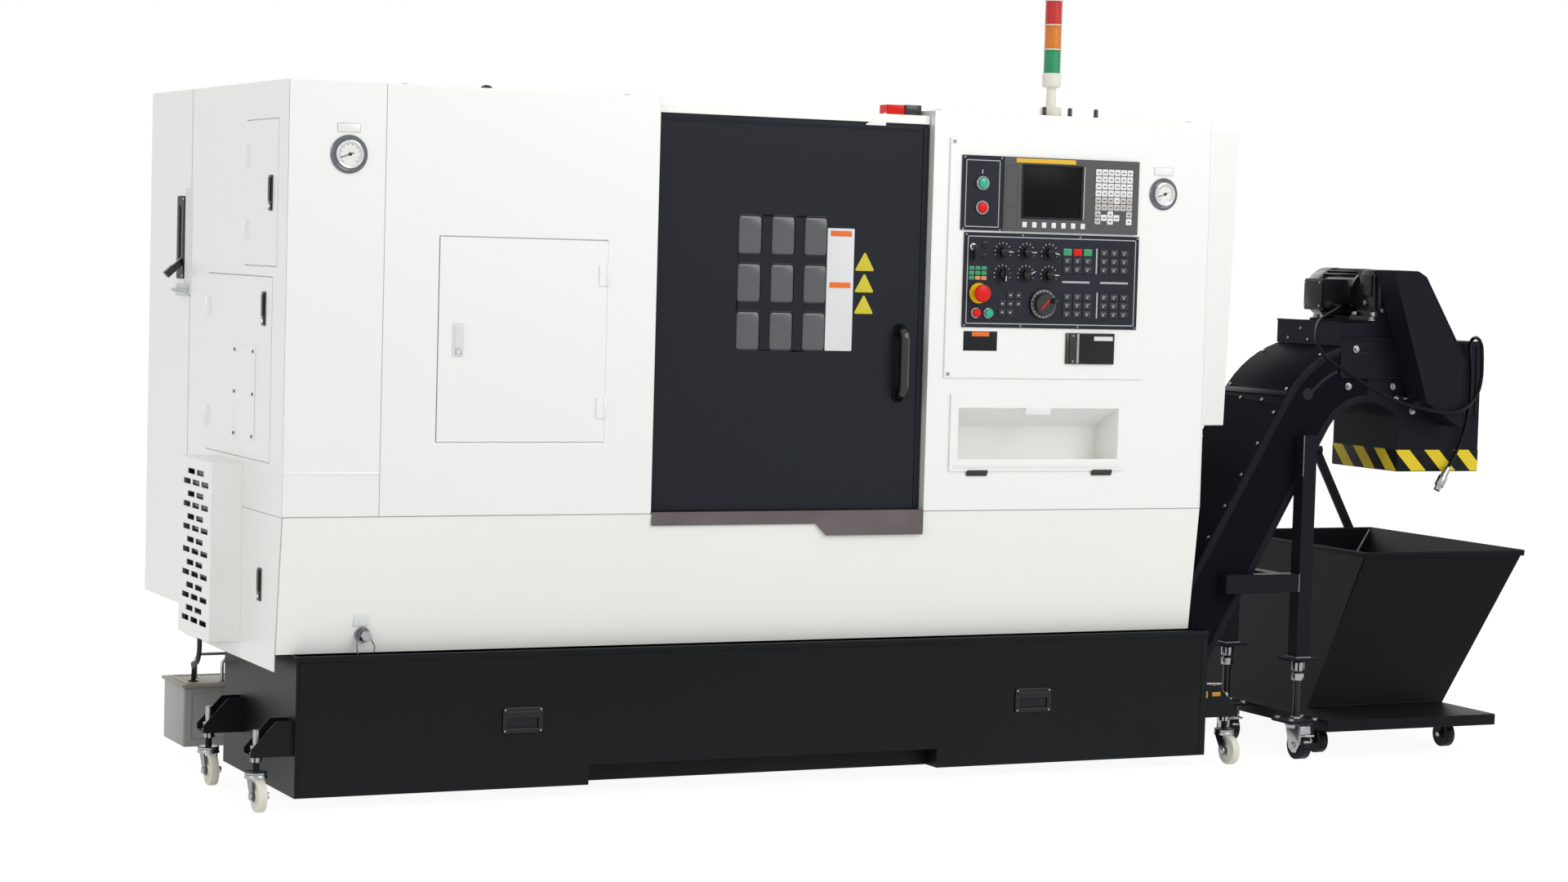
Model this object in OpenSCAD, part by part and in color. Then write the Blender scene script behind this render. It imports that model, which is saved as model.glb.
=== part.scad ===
// CNC turning lathe with chip conveyor, chip cart and oil box.
// Millimetres, +Z up, the front looks towards -Y.
// Modules are written in the machine's own frame: X from the left cover, Y from the front covers
// towards the back, Z from the floor. on_floor() then puts the middle of the footprint at the origin.

/* [Covers] */
// Width over the upper covers
body_w = 2520; // [2510:5:2530]
// Height of the upper covers above the floor
cover_h = 1705; // [1700:1:1712]
// Height of the seam between the upper covers and the apron
seam_z = 688; // [686:1:690]
// Width of the covers left of the door
left_w = 936; // [932:1:940]
// Width of the corner strip at the far left
strip_w = 238; // [230:1:245]
// Width of the console cover right of the door
console_w = 830; // [826:1:834]
// Depth of the left side cover
side_d = 811; // [806:1:816]
// Depth of the electrical cabinet behind the side cover
cabinet_d = 391; // [380:1:400]
// Width of the electrical cabinet
cabinet_w = 334; // [332:1:336]
// Thickness of the cover sheet
sheet = 4; // [3.5:0.5:4.5]

/* [Doors] */
// Thickness of the sliding door
door_t = 34; // [32:1:35]
// Gap between the covers' front and the sliding door
door_gap = 26; // [25:1:27]
// Width of one window pane
pane_w = 65; // [60:1:68]
// Height of one window pane
pane_h = 96; // [90:1:98]

/* [Bed] */
// Distance of the spindle axis from the front covers
spindle_y = 400; // [398:1:402]
// Height of the spindle axis above the floor
spindle_z = 1030; // [1028:1:1034]
// Distance of the slanted way face from the spindle axis
way_off = 230; // [228:1:232]
// Radius of the spindle in its bearings
spindle_r = 70; // [66:1:74]
// Radius of the chuck
chuck_r = 105; // [100:1:108]
// Height of the levelling feet
foot_h = 70; // [66:1:74]

/* [Tank] */
// Height of the tank's top edge
tank_top = 363; // [360:1:364]
// Height of the tank's bottom above the floor
tank_z = 29; // [27:1:31]
// Depth of the tank
tank_d = 590; // [580:1:594]
// How far the apron leans back at its bottom edge
lean = 36; // [34:1:38]
// Radius of the tank casters
wheel_r = 38; // [37:0.5:38.5]

/* [Conveyor] */
// Distance of the conveyor's near side from the front covers
conv_y = 60; // [58:1:62]
// Width of the conveyor
conv_w = 305; // [298:1:312]
// Inner radius of the bend at the top of the conveyor
bend_in = 147; // [145:1:149]
// Outer radius of the bend at the top of the conveyor
bend_out = 312; // [310:1:314]

/* [Cart] */
// Height of the hopper's rim
cart_h = 537; // [530:1:545]
// Length of the hopper from front to back
hopper_l = 740; // [700:5:760]

/* [Hidden] */

$fn = 32;
fit = 0.4;       // running gap between moving pieces

// Footprint, which sets the origin
cooler_d = 77;
reach_y = 48;    // the handwheel's crank stands this far in front of the covers
x_console = body_w - console_w;
y_back = side_d + cabinet_d;
cart_x = body_w + 414;
cart_w = 560;
rim_x = cart_x + 826;
x_mid = (rim_x - cooler_d) / 2;
y_mid = (y_back - reach_y) / 2;

// Heights between the seam and the top of the covers, which follow the covers' height
covers_rise = 1017;
function rise_z(h) = seam_z + h * (cover_h - seam_z) / covers_rise;

// Door places
door_y = [door_gap, door_gap + door_t];
track_z = cover_h - 37;
door_z = [seam_z + 4 + fit, track_z - fit];
pane_dx = pane_w + 26;
pane_dz = pane_h + 23;
pane_x = (left_w + x_console) / 2 - 26;
pane_z = rise_z(570);
skin = 8;        // door sheet in front of the glass
glass_t = 8;
glass_x = pane_dx + pane_w / 2 + 23.5;
glass_z = pane_dz + pane_h / 2 + 23;
handle_x = x_console - 70;
handle_z = [rise_z(280), rise_z(472)];

// Cover openings
access_x = [strip_w + 137, left_w - 130];
access_z = [rise_z(175), rise_z(665)];
upper_y = [72, side_d - 477];
upper_z = [rise_z(581), rise_z(928)];
lower_y = [102, side_d - 168];
lower_z = [rise_z(119), rise_z(558)];
hinge_r = 4;     // hinge knuckles stand proud of the covers
hinge_off = hinge_r + fit;
edge = 2;        // gap round a hinged door, with the running gap at its hinge
panel_t = 12;    // folded depth of a hinged door
side_foot_z = 322;
cabinet_z = 395;
console_d = 330;
roof_z = cover_h - 49;
bin_x = [x_console + 68, x_console + 586];
bin_z = [rise_z(102), rise_z(300)];
bin_hinge = [-3.4, bin_z[0] - 4];
bin_d = 101;

// Console places, from the console cover's left edge and the seam
plate_x = [x_console + 45, x_console + 634];
plate_z = [rise_z(340), rise_z(950)];
plate_t = 6;
panel_y = -plate_t - 4;
unit_x = [x_console + 198, x_console + 600];
unit_z = [rise_z(717), rise_z(907)];
screen_x = [x_console + 254, x_console + 427];
screen_z = [rise_z(755), rise_z(885)];
power_x = [x_console + 78, x_console + 196];
keys_x = [x_console + 90, x_console + 608];
keys_z = [rise_z(470), rise_z(712)];
power_on = [x_console + 136, rise_z(837)];
power_off = [x_console + 136, rise_z(775)];
button_r = 14;
estop = [x_console + 134, rise_z(557)];
wheel_at = [x_console + 322, rise_z(533)];
wheel_dial_r = 38;
knob_x = [x_console + 202, x_console + 271, x_console + 339];
knob_z = [rise_z(607), rise_z(664)];
data_x = [x_console + 411, x_console + 542];
data_z = [rise_z(379), rise_z(459)];
tower = [x_console + 422, 150];
gauge_left = [147, cover_h - 169];
gauge_right = [body_w - 147, cover_h - 191];

// Lever switch on the cabinet
lever_y = side_d + 81;
lever_pivot = [62, cover_h - 375];
lever_l = 130;
lever_drop = 43;

// Cooler box
cooler_y = [315, 590];
cooler_z = [360, 795];
slot_l = 62;
slot_h = 13;

// Bed and carriage, in the slanted frame of the ways
bed_x = [340, body_w - 80];
bed_front = 600;
bed_rear = 1130;
rail_h = 26;
rail_x = [left_w + 9, body_w - 120];
rail_y = [110, 350];
tail_rail_y = -110;
chuck_x = left_w + 14;
seat = 0.02;     // castings that are bolted down meet on their faces
ride_z = -way_off + seat + rail_h + fit;
saddle_x = [body_w - 875, body_w - 535];
saddle_top = -140;
slide_x = [saddle_x[0] - 5, saddle_x[0] + 245];
slide_y = [190, 470];
turret_y = 330;
turret_r = 140;
tail_x = [body_w - 360, body_w - 140];
quill_r = 36;

// Tank and casters
tank_x = [41, body_w + 35];
tank_y = [-10, tank_d - 10];
notch_x = [tank_x[0] + 743, tank_x[1] - 810];
notch_h = 49;
caster_arm = 81;
trail = 28;
front_caster = [tank_x[0] - caster_arm, 30];
rear_caster = [tank_x[0] - caster_arm, 430];
right_caster = [tank_x[1] + caster_arm, 22];
cap_z = 86;
arm_z = 128;

// Conveyor: centre of the top bend, and the lines of its 60 degree rise
bend = [body_w + 568, 822];
rise = 60;
run_z = [60, 225];
run_x = 740;
head_x1 = bend[0] + 376;
head_z1 = bend[1] + 318;
chute_x0 = bend[0] + 107;
far_y = conv_y + conv_w;
wall = 4;
shaft_in = [bend[0] + 80, 1262];
shaft_out = [bend[0] + 202, 1000];
post_x = [body_w + 338, body_w + 380];
post = 42;
beam_z = [455, 505];
base_z = head_z1 + 46;
base_x = [bend[0] - 95, bend[0] + 140];
base_t = 6;
base_foot = bend[1] + fit + sqrt(bend_out * bend_out - pow(base_x[0] + base_t - bend[0], 2));

// Cart, cord and hose
hopper_y = 210;
deck_z = [78, 108];
cart_wheel_r = 35;
oil_x = [55, 315];
oil_y = [y_back - 202, y_back - 7];
oil_h = 160;
cord_r = 5;
hose_r = 6;
hose_route = [
    [-30, 560, 362], [-30, 560, 338], [-29, 564, 314], [-28, 574, 294], [-26, 591, 280],
    [-24, 613, 272], [-21, 640, 268], [-8, 692, 261], [10, 756, 250], [34, 840, 236],
    [52, 904, 225], [64, 946, 220], [73, 980, 217], [81, 1006, 213], [88, 1027, 204],
    [92, 1043, 189], [94, 1052, 171], [95, 1056, 150]
];
gland = [bend[0] - 38, conv_y + 130, 1230];
cord_points = [
    [-38, 190, 1230], [-38, 170, 1230], [-44, 145, 1229], [-60, 120, 1225], [-84, 101, 1219],
    [-114, 84, 1210], [-150, 63, 1200], [-180, 42, 1187], [-202, 20, 1170], [-216, 0, 1150],
    [-222, -16, 1131], [-220, -29, 1112], [-210, -37, 1095], [-194, -41, 1082], [-168, -42, 1068],
    [-120, -42, 1042], [-70, -42, 1016], [-20, -42, 994], [32, -42, 976], [90, -42, 962],
    [145, -42, 953], [190, -42, 948], [226, -42, 950], [256, -42, 962], [281, -43, 984],
    [297, -44, 1012], [303, -45, 1048], [303, -45, 1082], [302, -45, 1106], [304, -39, 1129],
    [308, -22, 1146], [313, 1, 1152], [319, 24, 1146], [325, 41, 1129], [330, 47, 1106],
    [335, 47, 1073], [337, 46, 1030], [334, 45, 970], [322, 44, 905], [302, 43, 850],
    [268, 43, 790]
];
cord_route = [for (p = cord_points) p + [bend[0], 0, 0]];

// Shared shapes
module on_floor() translate([-x_mid, -y_mid, 0]) children();

module blk(x, y, z) translate([x[0], y[0], z[0]]) cube([x[1] - x[0], y[1] - y[0], z[1] - z[0]]);

module rod_x(x, y, z, r) translate([x[0], y, z]) rotate([0, 90, 0]) cylinder(h = x[1] - x[0], r = r);

module rod_y(y, x, z, r) translate([x, y[0], z]) rotate([-90, 0, 0]) cylinder(h = y[1] - y[0], r = r);

module rod_z(z, x, y, r) translate([x, y, z[0]]) cylinder(h = z[1] - z[0], r = r);

module hex_z(z, x, y, r) translate([x, y, z[0]]) cylinder(h = z[1] - z[0], r = r, $fn = 6);

// Extrudes a YZ outline along X
module along_x(x) translate([x[0], 0, 0]) rotate([90, 0, 90]) linear_extrude(x[1] - x[0]) children();

// Extrudes an XZ outline along Y
module along_y(y) translate([0, y[1], 0]) rotate([90, 0, 0]) linear_extrude(y[1] - y[0]) children();

module rect(x, z) translate([x[0], z[0]]) square([x[1] - x[0], z[1] - z[0]]);

// Rounded rectangle about its centre
module round_rect(w, h, r) {
    square([w - 2 * r, h], center = true);
    square([w, h - 2 * r], center = true);
    for (sx = [-1, 1], sz = [-1, 1])
        translate([sx * (w / 2 - r), sz * (h / 2 - r)])
            circle(r = r, $fn = 16);
}

// Frame of the slanted ways: Y up the slope, Z out of the way face, origin on the spindle axis
module on_slant() translate([0, spindle_y, spindle_z]) rotate([45, 0, 0]) children();

function slant(y, z) = [spindle_y + (y - z) * sqrt(0.5), spindle_z + (y + z) * sqrt(0.5)];

function unit(v) = v / norm(v);

function across(u, d) = unit(u - (u * d) * d);

// Round tube swept along a route; each ring keeps the turn of the ring before it
module tube(p, r, start, sides = 8) {
    last = len(p) - 1;
    dirs = [for (i = [0:last]) unit(p[min(i + 1, last)] - p[max(i - 1, 0)])];
    firsts = [for (i = 0, u = across(start, dirs[0]); i <= last;
        i = i + 1, u = i <= last ? across(u, dirs[i]) : u) u];
    rings = [for (i = [0:last], k = [0:sides - 1])
        p[i] + r * (cos(360 * k / sides) * firsts[i] + sin(360 * k / sides) * cross(dirs[i], firsts[i]))];
    walls = [for (i = [0:last - 1], k = [0:sides - 1])
        [i * sides + k, (i + 1) * sides + k, (i + 1) * sides + (k + 1) % sides, i * sides + (k + 1) % sides]];
    ends = [[for (k = [0:sides - 1]) k], [for (k = [sides - 1:-1:0]) last * sides + k]];
    polyhedron(points = rings, faces = concat(walls, ends), convexity = 6);
}

// Bed, headstock and carriage
function bed_outline() =
    let (low = slant(-170, -way_off), high = slant(400, -way_off))
    [[bed_front, foot_h], [bed_rear, foot_h], [bed_rear, 860], [900, high[1]], high,
     low, [low[0], low[1] - 57], [bed_front, 540]];

module bed_casting() color("dimgray") on_floor()
    along_x(bed_x)
        difference() {
            polygon(bed_outline());
            polygon([[700, 180], [1030, 180], [1030, 800], [868, 990], [830, 990], [700, 860]]);
        }

module leveling_feet() color("silver") on_floor()
    for (x = [bed_x[0] + 90, (bed_x[0] + bed_x[1]) / 2, bed_x[1] - 90], y = [bed_front + 50, bed_rear - 50]) {
        rod_z([0, 20], x, y, 45);
        rod_z([20, foot_h], x, y, 16);
    }

module headstock_casting() color("gray") on_floor() on_slant()
    difference() {
        blk([360, left_w - 76], [-190, 190], [-way_off + seat, 170]);
        rod_x([350, left_w - 66], 0, 0, spindle_r + fit);
    }

module bed_rails() color("silver") on_floor() on_slant() {
    for (y = rail_y)
        blk(rail_x, [y - 18, y + 18], [-way_off + seat, -way_off + seat + rail_h]);
    blk(rail_x, [tail_rail_y - 30, tail_rail_y + 30], [-way_off + seat, -way_off + seat + rail_h]);
}

module headstock_guard() color("gainsboro") on_floor()
    along_x([left_w - 2 * sheet, left_w - sheet])
        difference() {
            rect([66, side_d - 11], [560, roof_z]);
            polygon(bed_outline());
            translate([spindle_y, spindle_z])
                circle(r = chuck_r + 7);
        }

module spindle() color("lightsteelblue") on_floor()
    translate([0, spindle_y, spindle_z])
        difference() {
            union() {
                rod_x([200, left_w - 46], 0, 0, spindle_r);
                rod_x([left_w - 56, chuck_x], 0, 0, 85);
                rod_x([130, 330], 0, 0, 95);
            }
            rod_x([120, chuck_x + 10], 0, 0, 26);
        }

module chuck() color("slategray") on_floor()
    translate([0, spindle_y, spindle_z])
        difference() {
            union() {
                rod_x([chuck_x, chuck_x + 90], 0, 0, chuck_r);
                for (a = [0, 120, 240])
                    rotate([a, 0, 0])
                        blk([chuck_x + 80, chuck_x + 125], [-18, 18], [32, chuck_r - 12]);
            }
            rod_x([chuck_x - 10, chuck_x + 130], 0, 0, 30);
        }

module saddle() color("gray") on_floor() on_slant()
    blk(saddle_x, [85, 385], [ride_z, saddle_top]);

module turret_slide() color("darkgray") on_floor() on_slant() {
    blk(slide_x, slide_y, [saddle_top + fit, -90]);
    blk(slide_x, [slide_y[0] + 30, slide_y[1] - 30], [-90, 100]);
}

module turret_disc() color("silver") on_floor() on_slant()
    translate([0, turret_y, 0]) {
        rotate([15, 0, 0])
            translate([slide_x[0] - 78, 0, 0])
                rotate([0, 90, 0])
                    cylinder(h = 78 - fit, r = turret_r, $fn = 12);
        for (k = [0:5])
            rotate([60 * k, 0, 0])
                blk([slide_x[0] - 66, slide_x[0] - 20], [turret_r - 12, turret_r + 45], [-16, 16]);
        rod_x([slide_x[0] - 90, slide_x[0] - 77], 0, 0, 58);
    }

module tailstock() color("gray") on_floor() on_slant()
    difference() {
        union() {
            blk(tail_x, [-165, -50], [ride_z, 0]);
            blk(tail_x, [-70, 55], [-60, 60]);
        }
        rod_x([tail_x[0] - 1, tail_x[0] + 180], 0, 0, quill_r + fit);
    }

module quill() color("silver") on_floor() on_slant() {
    rod_x([tail_x[0] - 85, tail_x[0] + 160], 0, 0, quill_r);
    translate([tail_x[0] - 125, 0, 0])
        rotate([0, 90, 0])
            cylinder(h = 40, r1 = 3, r2 = 24);
}

// Covers
module left_end_cover() color("whitesmoke") on_floor() {
    along_x([0, sheet])
        difference() {
            polygon([[0, cover_h], [side_d, cover_h], [side_d, side_foot_z], [lean, side_foot_z],
                     [lean, tank_top], [0, seam_z]]);
            rect(upper_y, upper_z);
            rect(lower_y, lower_z);
        }
    blk([sheet, strip_w], [0, sheet], [seam_z, cover_h]);
    blk([sheet, strip_w], [sheet, side_d], [cover_h - sheet, cover_h]);
}

module headstock_cover() color("whitesmoke") on_floor() {
    along_y([0, sheet])
        difference() {
            rect([strip_w, left_w], [seam_z, cover_h]);
            rect(access_x, access_z);
        }
    blk([strip_w, left_w], [sheet, side_d], [cover_h - sheet, cover_h]);
    blk([left_w - sheet, left_w], [68, side_d], [roof_z - 16, cover_h - sheet]);
    blk([cabinet_w, left_w - sheet], [side_d - sheet, side_d], [roof_z - 16, cover_h - sheet]);
}

module console_cover() color("whitesmoke") on_floor() {
    along_y([0, sheet])
        difference() {
            rect([x_console, body_w], [seam_z, cover_h]);
            rect([bin_x[0] + 14, bin_x[1] - 14], [bin_z[0] + 12, bin_z[1] - 26]);
        }
    for (x = [x_console, body_w - sheet])
        blk([x, x + sheet], [sheet, console_d], [seam_z, cover_h]);
    blk([x_console + sheet, body_w - sheet], [sheet, console_d], [cover_h - sheet, cover_h]);
}

module right_end_cover() color("whitesmoke") on_floor() {
    low = cover_h - 805;
    high = cover_h - 15;
    difference() {
        along_y([130, side_d])
            polygon([[body_w, low], [body_w + 150, low], [body_w + 170, high], [body_w, high]]);
        along_y([130 + sheet, side_d - sheet])
            polygon([[body_w - 1, low + sheet], [body_w + 150 - sheet, low + sheet],
                     [body_w + 170 - sheet, high - sheet], [body_w - 1, high - sheet]]);
    }
}

module rear_cover() color("whitesmoke") on_floor() {
    roof = [roof_z, roof_z + sheet];
    back = y_back - 52;
    fold = roof[1] - 358;
    along_x([cabinet_w, body_w - sheet])
        polygon([[side_d, roof[1]], [back, fold], [back, cabinet_z], [back - sheet, cabinet_z],
                 [back - sheet, fold - 1.6], [side_d, roof[1] - 5.7]]);
    blk([left_w, body_w - sheet], [console_d + 1, side_d], roof);
    blk([left_w, x_console - 1], [64, console_d + 1], roof);
    along_x([body_w - 2 * sheet, body_w - sheet])
        polygon([[console_d + 4, seam_z + 16], [console_d + 4, roof[0] + 1], [side_d, roof[0] + 1],
                 [back - 2, fold], [back - 2, cabinet_z], [430, cabinet_z], [430, seam_z + 16]]);
}

module door_track() color("gainsboro") on_floor() {
    blk([262, x_console - 2], [22, 63], [track_z, track_z + 22]);
    blk([left_w, x_console - 2], [63, 110], [roof_z + sheet, track_z + 22]);
}

module interlock_switch() color("firebrick") on_floor()
    blk([x_console - 106, x_console - 10], [62, 104], [track_z + 22, track_z + 48]);

module door_sill() color("silver") on_floor() {
    step_x = x_console - 275;
    along_y([-3, 0])
        polygon([[left_w + 1, seam_z + 4], [x_console - 1, seam_z + 4], [x_console - 1, seam_z - 59],
                 [step_x, seam_z - 59], [step_x - 30, seam_z - 29], [left_w + 1, seam_z - 29]]);
    blk([left_w + 1, x_console - 1], [0, 62], [seam_z, seam_z + 4]);
}

module apron() color("whitesmoke") on_floor()
    along_x([sheet, body_w])
        polygon([[0, seam_z], [60, seam_z], [60, seam_z - sheet], [sheet + 0.5, seam_z - sheet],
                 [lean + sheet, tank_top], [lean, tank_top]]);

module electrical_cabinet() color("whitesmoke") on_floor()
    difference() {
        union() {
            difference() {
                blk([0, cabinet_w], [side_d, y_back], [cabinet_z, cover_h]);
                blk([sheet, cabinet_w - sheet], [side_d + sheet, y_back - sheet],
                    [cabinet_z + sheet, cover_h - sheet]);
            }
            blk([sheet - 1, lever_pivot[0] + 12], [lever_y - 24, lever_y - 7 - fit],
                [lever_pivot[1] - 12, lever_pivot[1] + 12]);
            rod_y([lever_y - 8, lever_y + 8], lever_pivot[0], lever_pivot[1], 4);
        }
        blk([-1, sheet + 1], [lever_y - 11, lever_y + 11],
            [lever_pivot[1] - 80, lever_pivot[1] + 80]);
    }

module cooler_box() color("whitesmoke") on_floor()
    difference() {
        blk([-cooler_d, 0], cooler_y, cooler_z);
        blk([-cooler_d + 3, -3], [cooler_y[0] + 3, cooler_y[1] - 3], [cooler_z[0] + 3, cooler_z[1] - 3]);
        for (k = [0:6]) {
            z = cooler_z[1] - 40 - 56 * k;
            for (i = [0:1])
                blk([-cooler_d - 1, -cooler_d + 4], [cooler_y[0] + 70 + 78 * i, cooler_y[0] + 70 + 78 * i + slot_l],
                    [z, z + slot_h]);
            for (i = [0:2])
                blk([-cooler_d - 1, -cooler_d + 4], [cooler_y[0] + 28 + 78 * i, cooler_y[0] + 28 + 78 * i + slot_l],
                    [z - 26, z - 26 + slot_h]);
        }
        rod_z([cooler_z[0] - 1, cooler_z[0] + 4], hose_route[0][0], hose_route[0][1], hose_r + 1);
    }

// Tank and its casters
module caster_bracket() {
    blk([-22, caster_arm], [-30, 30], [arm_z, arm_z + 6]);
    for (y = [-30, 26])
        along_y([y, y + 4])
            polygon([[-22, arm_z], [caster_arm, arm_z], [caster_arm, 212], [caster_arm - 42, 212], [-22, 146]]);
    rod_z([cap_z, 190], 0, 0, 8);
    rod_z([cap_z, cap_z + 6], 0, 0, 26);
    hex_z([arm_z - 14, arm_z], 0, 0, 14);
    hex_z([arm_z + 6, arm_z + 18], 0, 0, 14);
}

module coolant_tank() color("#222428") on_floor() {
    difference() {
        blk(tank_x, tank_y, [tank_z, tank_top]);
        difference() {
            blk([tank_x[0] + wall, tank_x[1] - wall], [tank_y[0] + wall, tank_y[1] - wall],
                [tank_z + wall, tank_top + 1]);
            blk([notch_x[0] - wall, notch_x[1] + wall], [tank_y[0] - 1, 54], [tank_z - 1, tank_z + notch_h + wall]);
        }
        blk(notch_x, [tank_y[0] - 1, 50], [tank_z - 1, tank_z + notch_h]);
        blk([tank_x[1] - wall - 1, tank_x[1] + 1], [conv_y - 10, far_y + 10], [178, tank_top + 1]);
    }
    for (c = [front_caster, rear_caster])
        translate([c[0], c[1], 0])
            caster_bracket();
    translate([right_caster[0], right_caster[1], 0])
        mirror([1, 0, 0])
            caster_bracket();
}

module caster_fork() {
    rod_z([77, cap_z - fit], 0, 0, 24);
    for (x = [-17, 14])
        along_x([x, x + 3])
            polygon([[-20, 78], [20, 78], [12 - trail, wheel_r - 12], [-12 - trail, wheel_r - 12]]);
    rod_x([-21, 21], -trail, wheel_r, 5);
}

module caster_wheel()
    difference() {
        rod_x([-11, 11], -trail, wheel_r, wheel_r);
        rod_x([-12, 12], -trail, wheel_r, 5 + fit);
    }

module front_caster_fork() color("silver") on_floor() translate([front_caster[0], front_caster[1], 0]) caster_fork();

module front_caster_wheel() color("ivory") on_floor() translate([front_caster[0], front_caster[1], 0]) caster_wheel();

module rear_caster_fork() color("silver") on_floor() translate([rear_caster[0], rear_caster[1], 0]) caster_fork();

module rear_caster_wheel() color("ivory") on_floor() translate([rear_caster[0], rear_caster[1], 0]) caster_wheel();

module right_caster_fork() color("silver") on_floor() translate([right_caster[0], right_caster[1], 0]) caster_fork();

module right_caster_wheel() color("ivory") on_floor() translate([right_caster[0], right_caster[1], 0]) caster_wheel();

// Doors
module main_door() color("#282c33") on_floor()
    difference() {
        blk([left_w - 36, x_console - 2], door_y, door_z);
        for (i = [-1:1], k = [-1:1])
            translate([pane_x + i * pane_dx, 0, pane_z + k * pane_dz])
                along_y([door_y[0] - 1, door_y[1] + 1])
                    round_rect(pane_w, pane_h, 10);
        blk([pane_x - glass_x - 2, pane_x + glass_x + 2], [door_y[0] + skin, door_y[1] + 1],
            [pane_z - glass_z - 2, pane_z + glass_z + 2]);
    }

module door_windows() color("gray") on_floor()
    blk([pane_x - glass_x, pane_x + glass_x], [door_y[0] + skin, door_y[0] + skin + glass_t],
        [pane_z - glass_z, pane_z + glass_z]);

module door_handle() color("black") on_floor()
    along_x([handle_x - 16, handle_x + 16])
        difference() {
            polygon([[door_y[0], handle_z[0]], [door_y[0], handle_z[1]], [-4, handle_z[1] - 12],
                     [-16, handle_z[1] - 34], [-16, handle_z[0] + 34], [-4, handle_z[0] + 12]]);
            polygon([[door_y[0] + 1, handle_z[0] + 30], [door_y[0] + 1, handle_z[1] - 30], [8, handle_z[1] - 34],
                     [0, handle_z[1] - 48], [0, handle_z[0] + 48], [8, handle_z[0] + 34]]);
        }

// Two hinge leaves with their knuckles, at the origin and towards -X from it
module hinge_pair(z) for (h = [z[0] + 60, z[1] - 110]) {
    blk([-22, 0], [-hinge_off, 0], [h, h + 50]);
    rod_z([h, h + 50], 0, -hinge_off, hinge_r);
}

module access_door() color("whitesmoke") on_floor() {
    blk([access_x[0] + edge, access_x[1] - fit], [0, panel_t], [access_z[0] + edge, access_z[1] - edge]);
    translate([access_x[1] - fit, 0, 0])
        hinge_pair(access_z);
}

module side_door(y, z) {
    blk([0, panel_t], [y[0] + edge, y[1] - fit], [z[0] + edge, z[1] - edge]);
    translate([0, y[1] - fit, 0])
        mirror([1, -1, 0])
            hinge_pair(z);
}

module side_door_upper() color("whitesmoke") on_floor() side_door(upper_y, upper_z);

module side_door_lower() color("whitesmoke") on_floor() side_door(lower_y, lower_z);

module disconnect_lever() color("black") on_floor()
    translate([lever_pivot[0], lever_y, lever_pivot[1]])
        rotate([0, -lever_drop, 0])
            difference() {
                union() {
                    blk([-lever_l, 10], [-7, 7], [-7, 7]);
                    blk([-lever_l - 12, -lever_l + 18], [-9, 9], [-9, 9]);
                }
                rod_y([-8, 8], 0, 0, 4 + fit);
            }

// Console
module console_plate() color("whitesmoke") on_floor()
    blk(plate_x, [-plate_t, 0], plate_z);

module display_unit() color("dimgray") on_floor()
    difference() {
        blk(unit_x, [-plate_t - 8, -plate_t], unit_z);
        blk(screen_x, [-plate_t - 9, -plate_t - 6], screen_z);
    }

module operator_panel() color("#2a2c3a") on_floor()
    difference() {
        union() {
            blk(power_x, [panel_y, -plate_t], [unit_z[0], unit_z[1]]);
            blk(keys_x, [panel_y, -plate_t], keys_z);
            for (b = [power_on, power_off])
                rod_y([panel_y - 6, panel_y + 1], b[0], b[1], button_r + 4);
            for (x = knob_x, z = knob_z)
                rod_y([panel_y - 18, panel_y + 1], x, z, 13);
            rod_y([panel_y - 2, panel_y + 1], estop[0], estop[1], 30);
        }
        for (b = [power_on, power_off])
            rod_y([panel_y - 7, -plate_t + 1], b[0], b[1], button_r + fit);
        rod_y([panel_y - 3, -plate_t + 1], estop[0], estop[1], 9 + fit);
        rod_y([panel_y - 1, -plate_t + 1], wheel_at[0], wheel_at[1], 10 + fit);
    }

module power_on_button() color("seagreen") on_floor()
    rod_y([panel_y - 11, panel_y - 1], power_on[0], power_on[1], button_r);

module power_off_button() color("crimson") on_floor()
    rod_y([panel_y - 11, panel_y - 1], power_off[0], power_off[1], button_r);

module estop_button() color("red") on_floor() {
    rod_y([-42, -30], estop[0], estop[1], 21);
    rod_y([-30, panel_y - 2], estop[0], estop[1], 9);
}

module handwheel() color("#23252b") on_floor() {
    rod_y([-34, panel_y - 3], wheel_at[0], wheel_at[1], wheel_dial_r);
    rod_y([panel_y - 3, panel_y + 3], wheel_at[0], wheel_at[1], 10);
    rod_y([-reach_y, -34], wheel_at[0] + 22, wheel_at[1] + 8, 7);
}

module bin_flap() color("whitesmoke") on_floor() {
    along_y([-6, -fit])
        difference() {
            rect(bin_x, bin_z);
            rect([bin_x[0] + 22, bin_x[1] - 20], [bin_z[0] + 30, bin_z[1] - 36]);
        }
    for (x = [bin_x[0] + 52, bin_x[1] - 95]) {
        blk([x, x + 60], [-6, -fit], [bin_hinge[1], bin_z[0] + 1]);
        rod_x([x, x + 60], bin_hinge[0], bin_hinge[1], 3);
    }
}

module bin_pocket() color("gainsboro") on_floor()
    difference() {
        along_x([bin_x[0] + 18, bin_x[1] - 18])
            polygon([[-fit, bin_z[0] + 16], [bin_d, bin_z[0] + 10], [bin_d, bin_z[1] - 83], [-fit, bin_z[1] - 33]]);
        along_x([bin_x[0] + 22, bin_x[1] - 22])
            polygon([[-1, bin_z[0] + 20], [bin_d - 4, bin_z[0] + 14], [bin_d - 4, bin_z[1] - 88], [-1, bin_z[1] - 38]]);
    }

module data_cover() color("black") on_floor() {
    blk(data_x, [-plate_t - 6, -plate_t - fit], data_z);
    rod_z(data_z, data_x[0], -plate_t - 3.2, 2.8);
}

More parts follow.
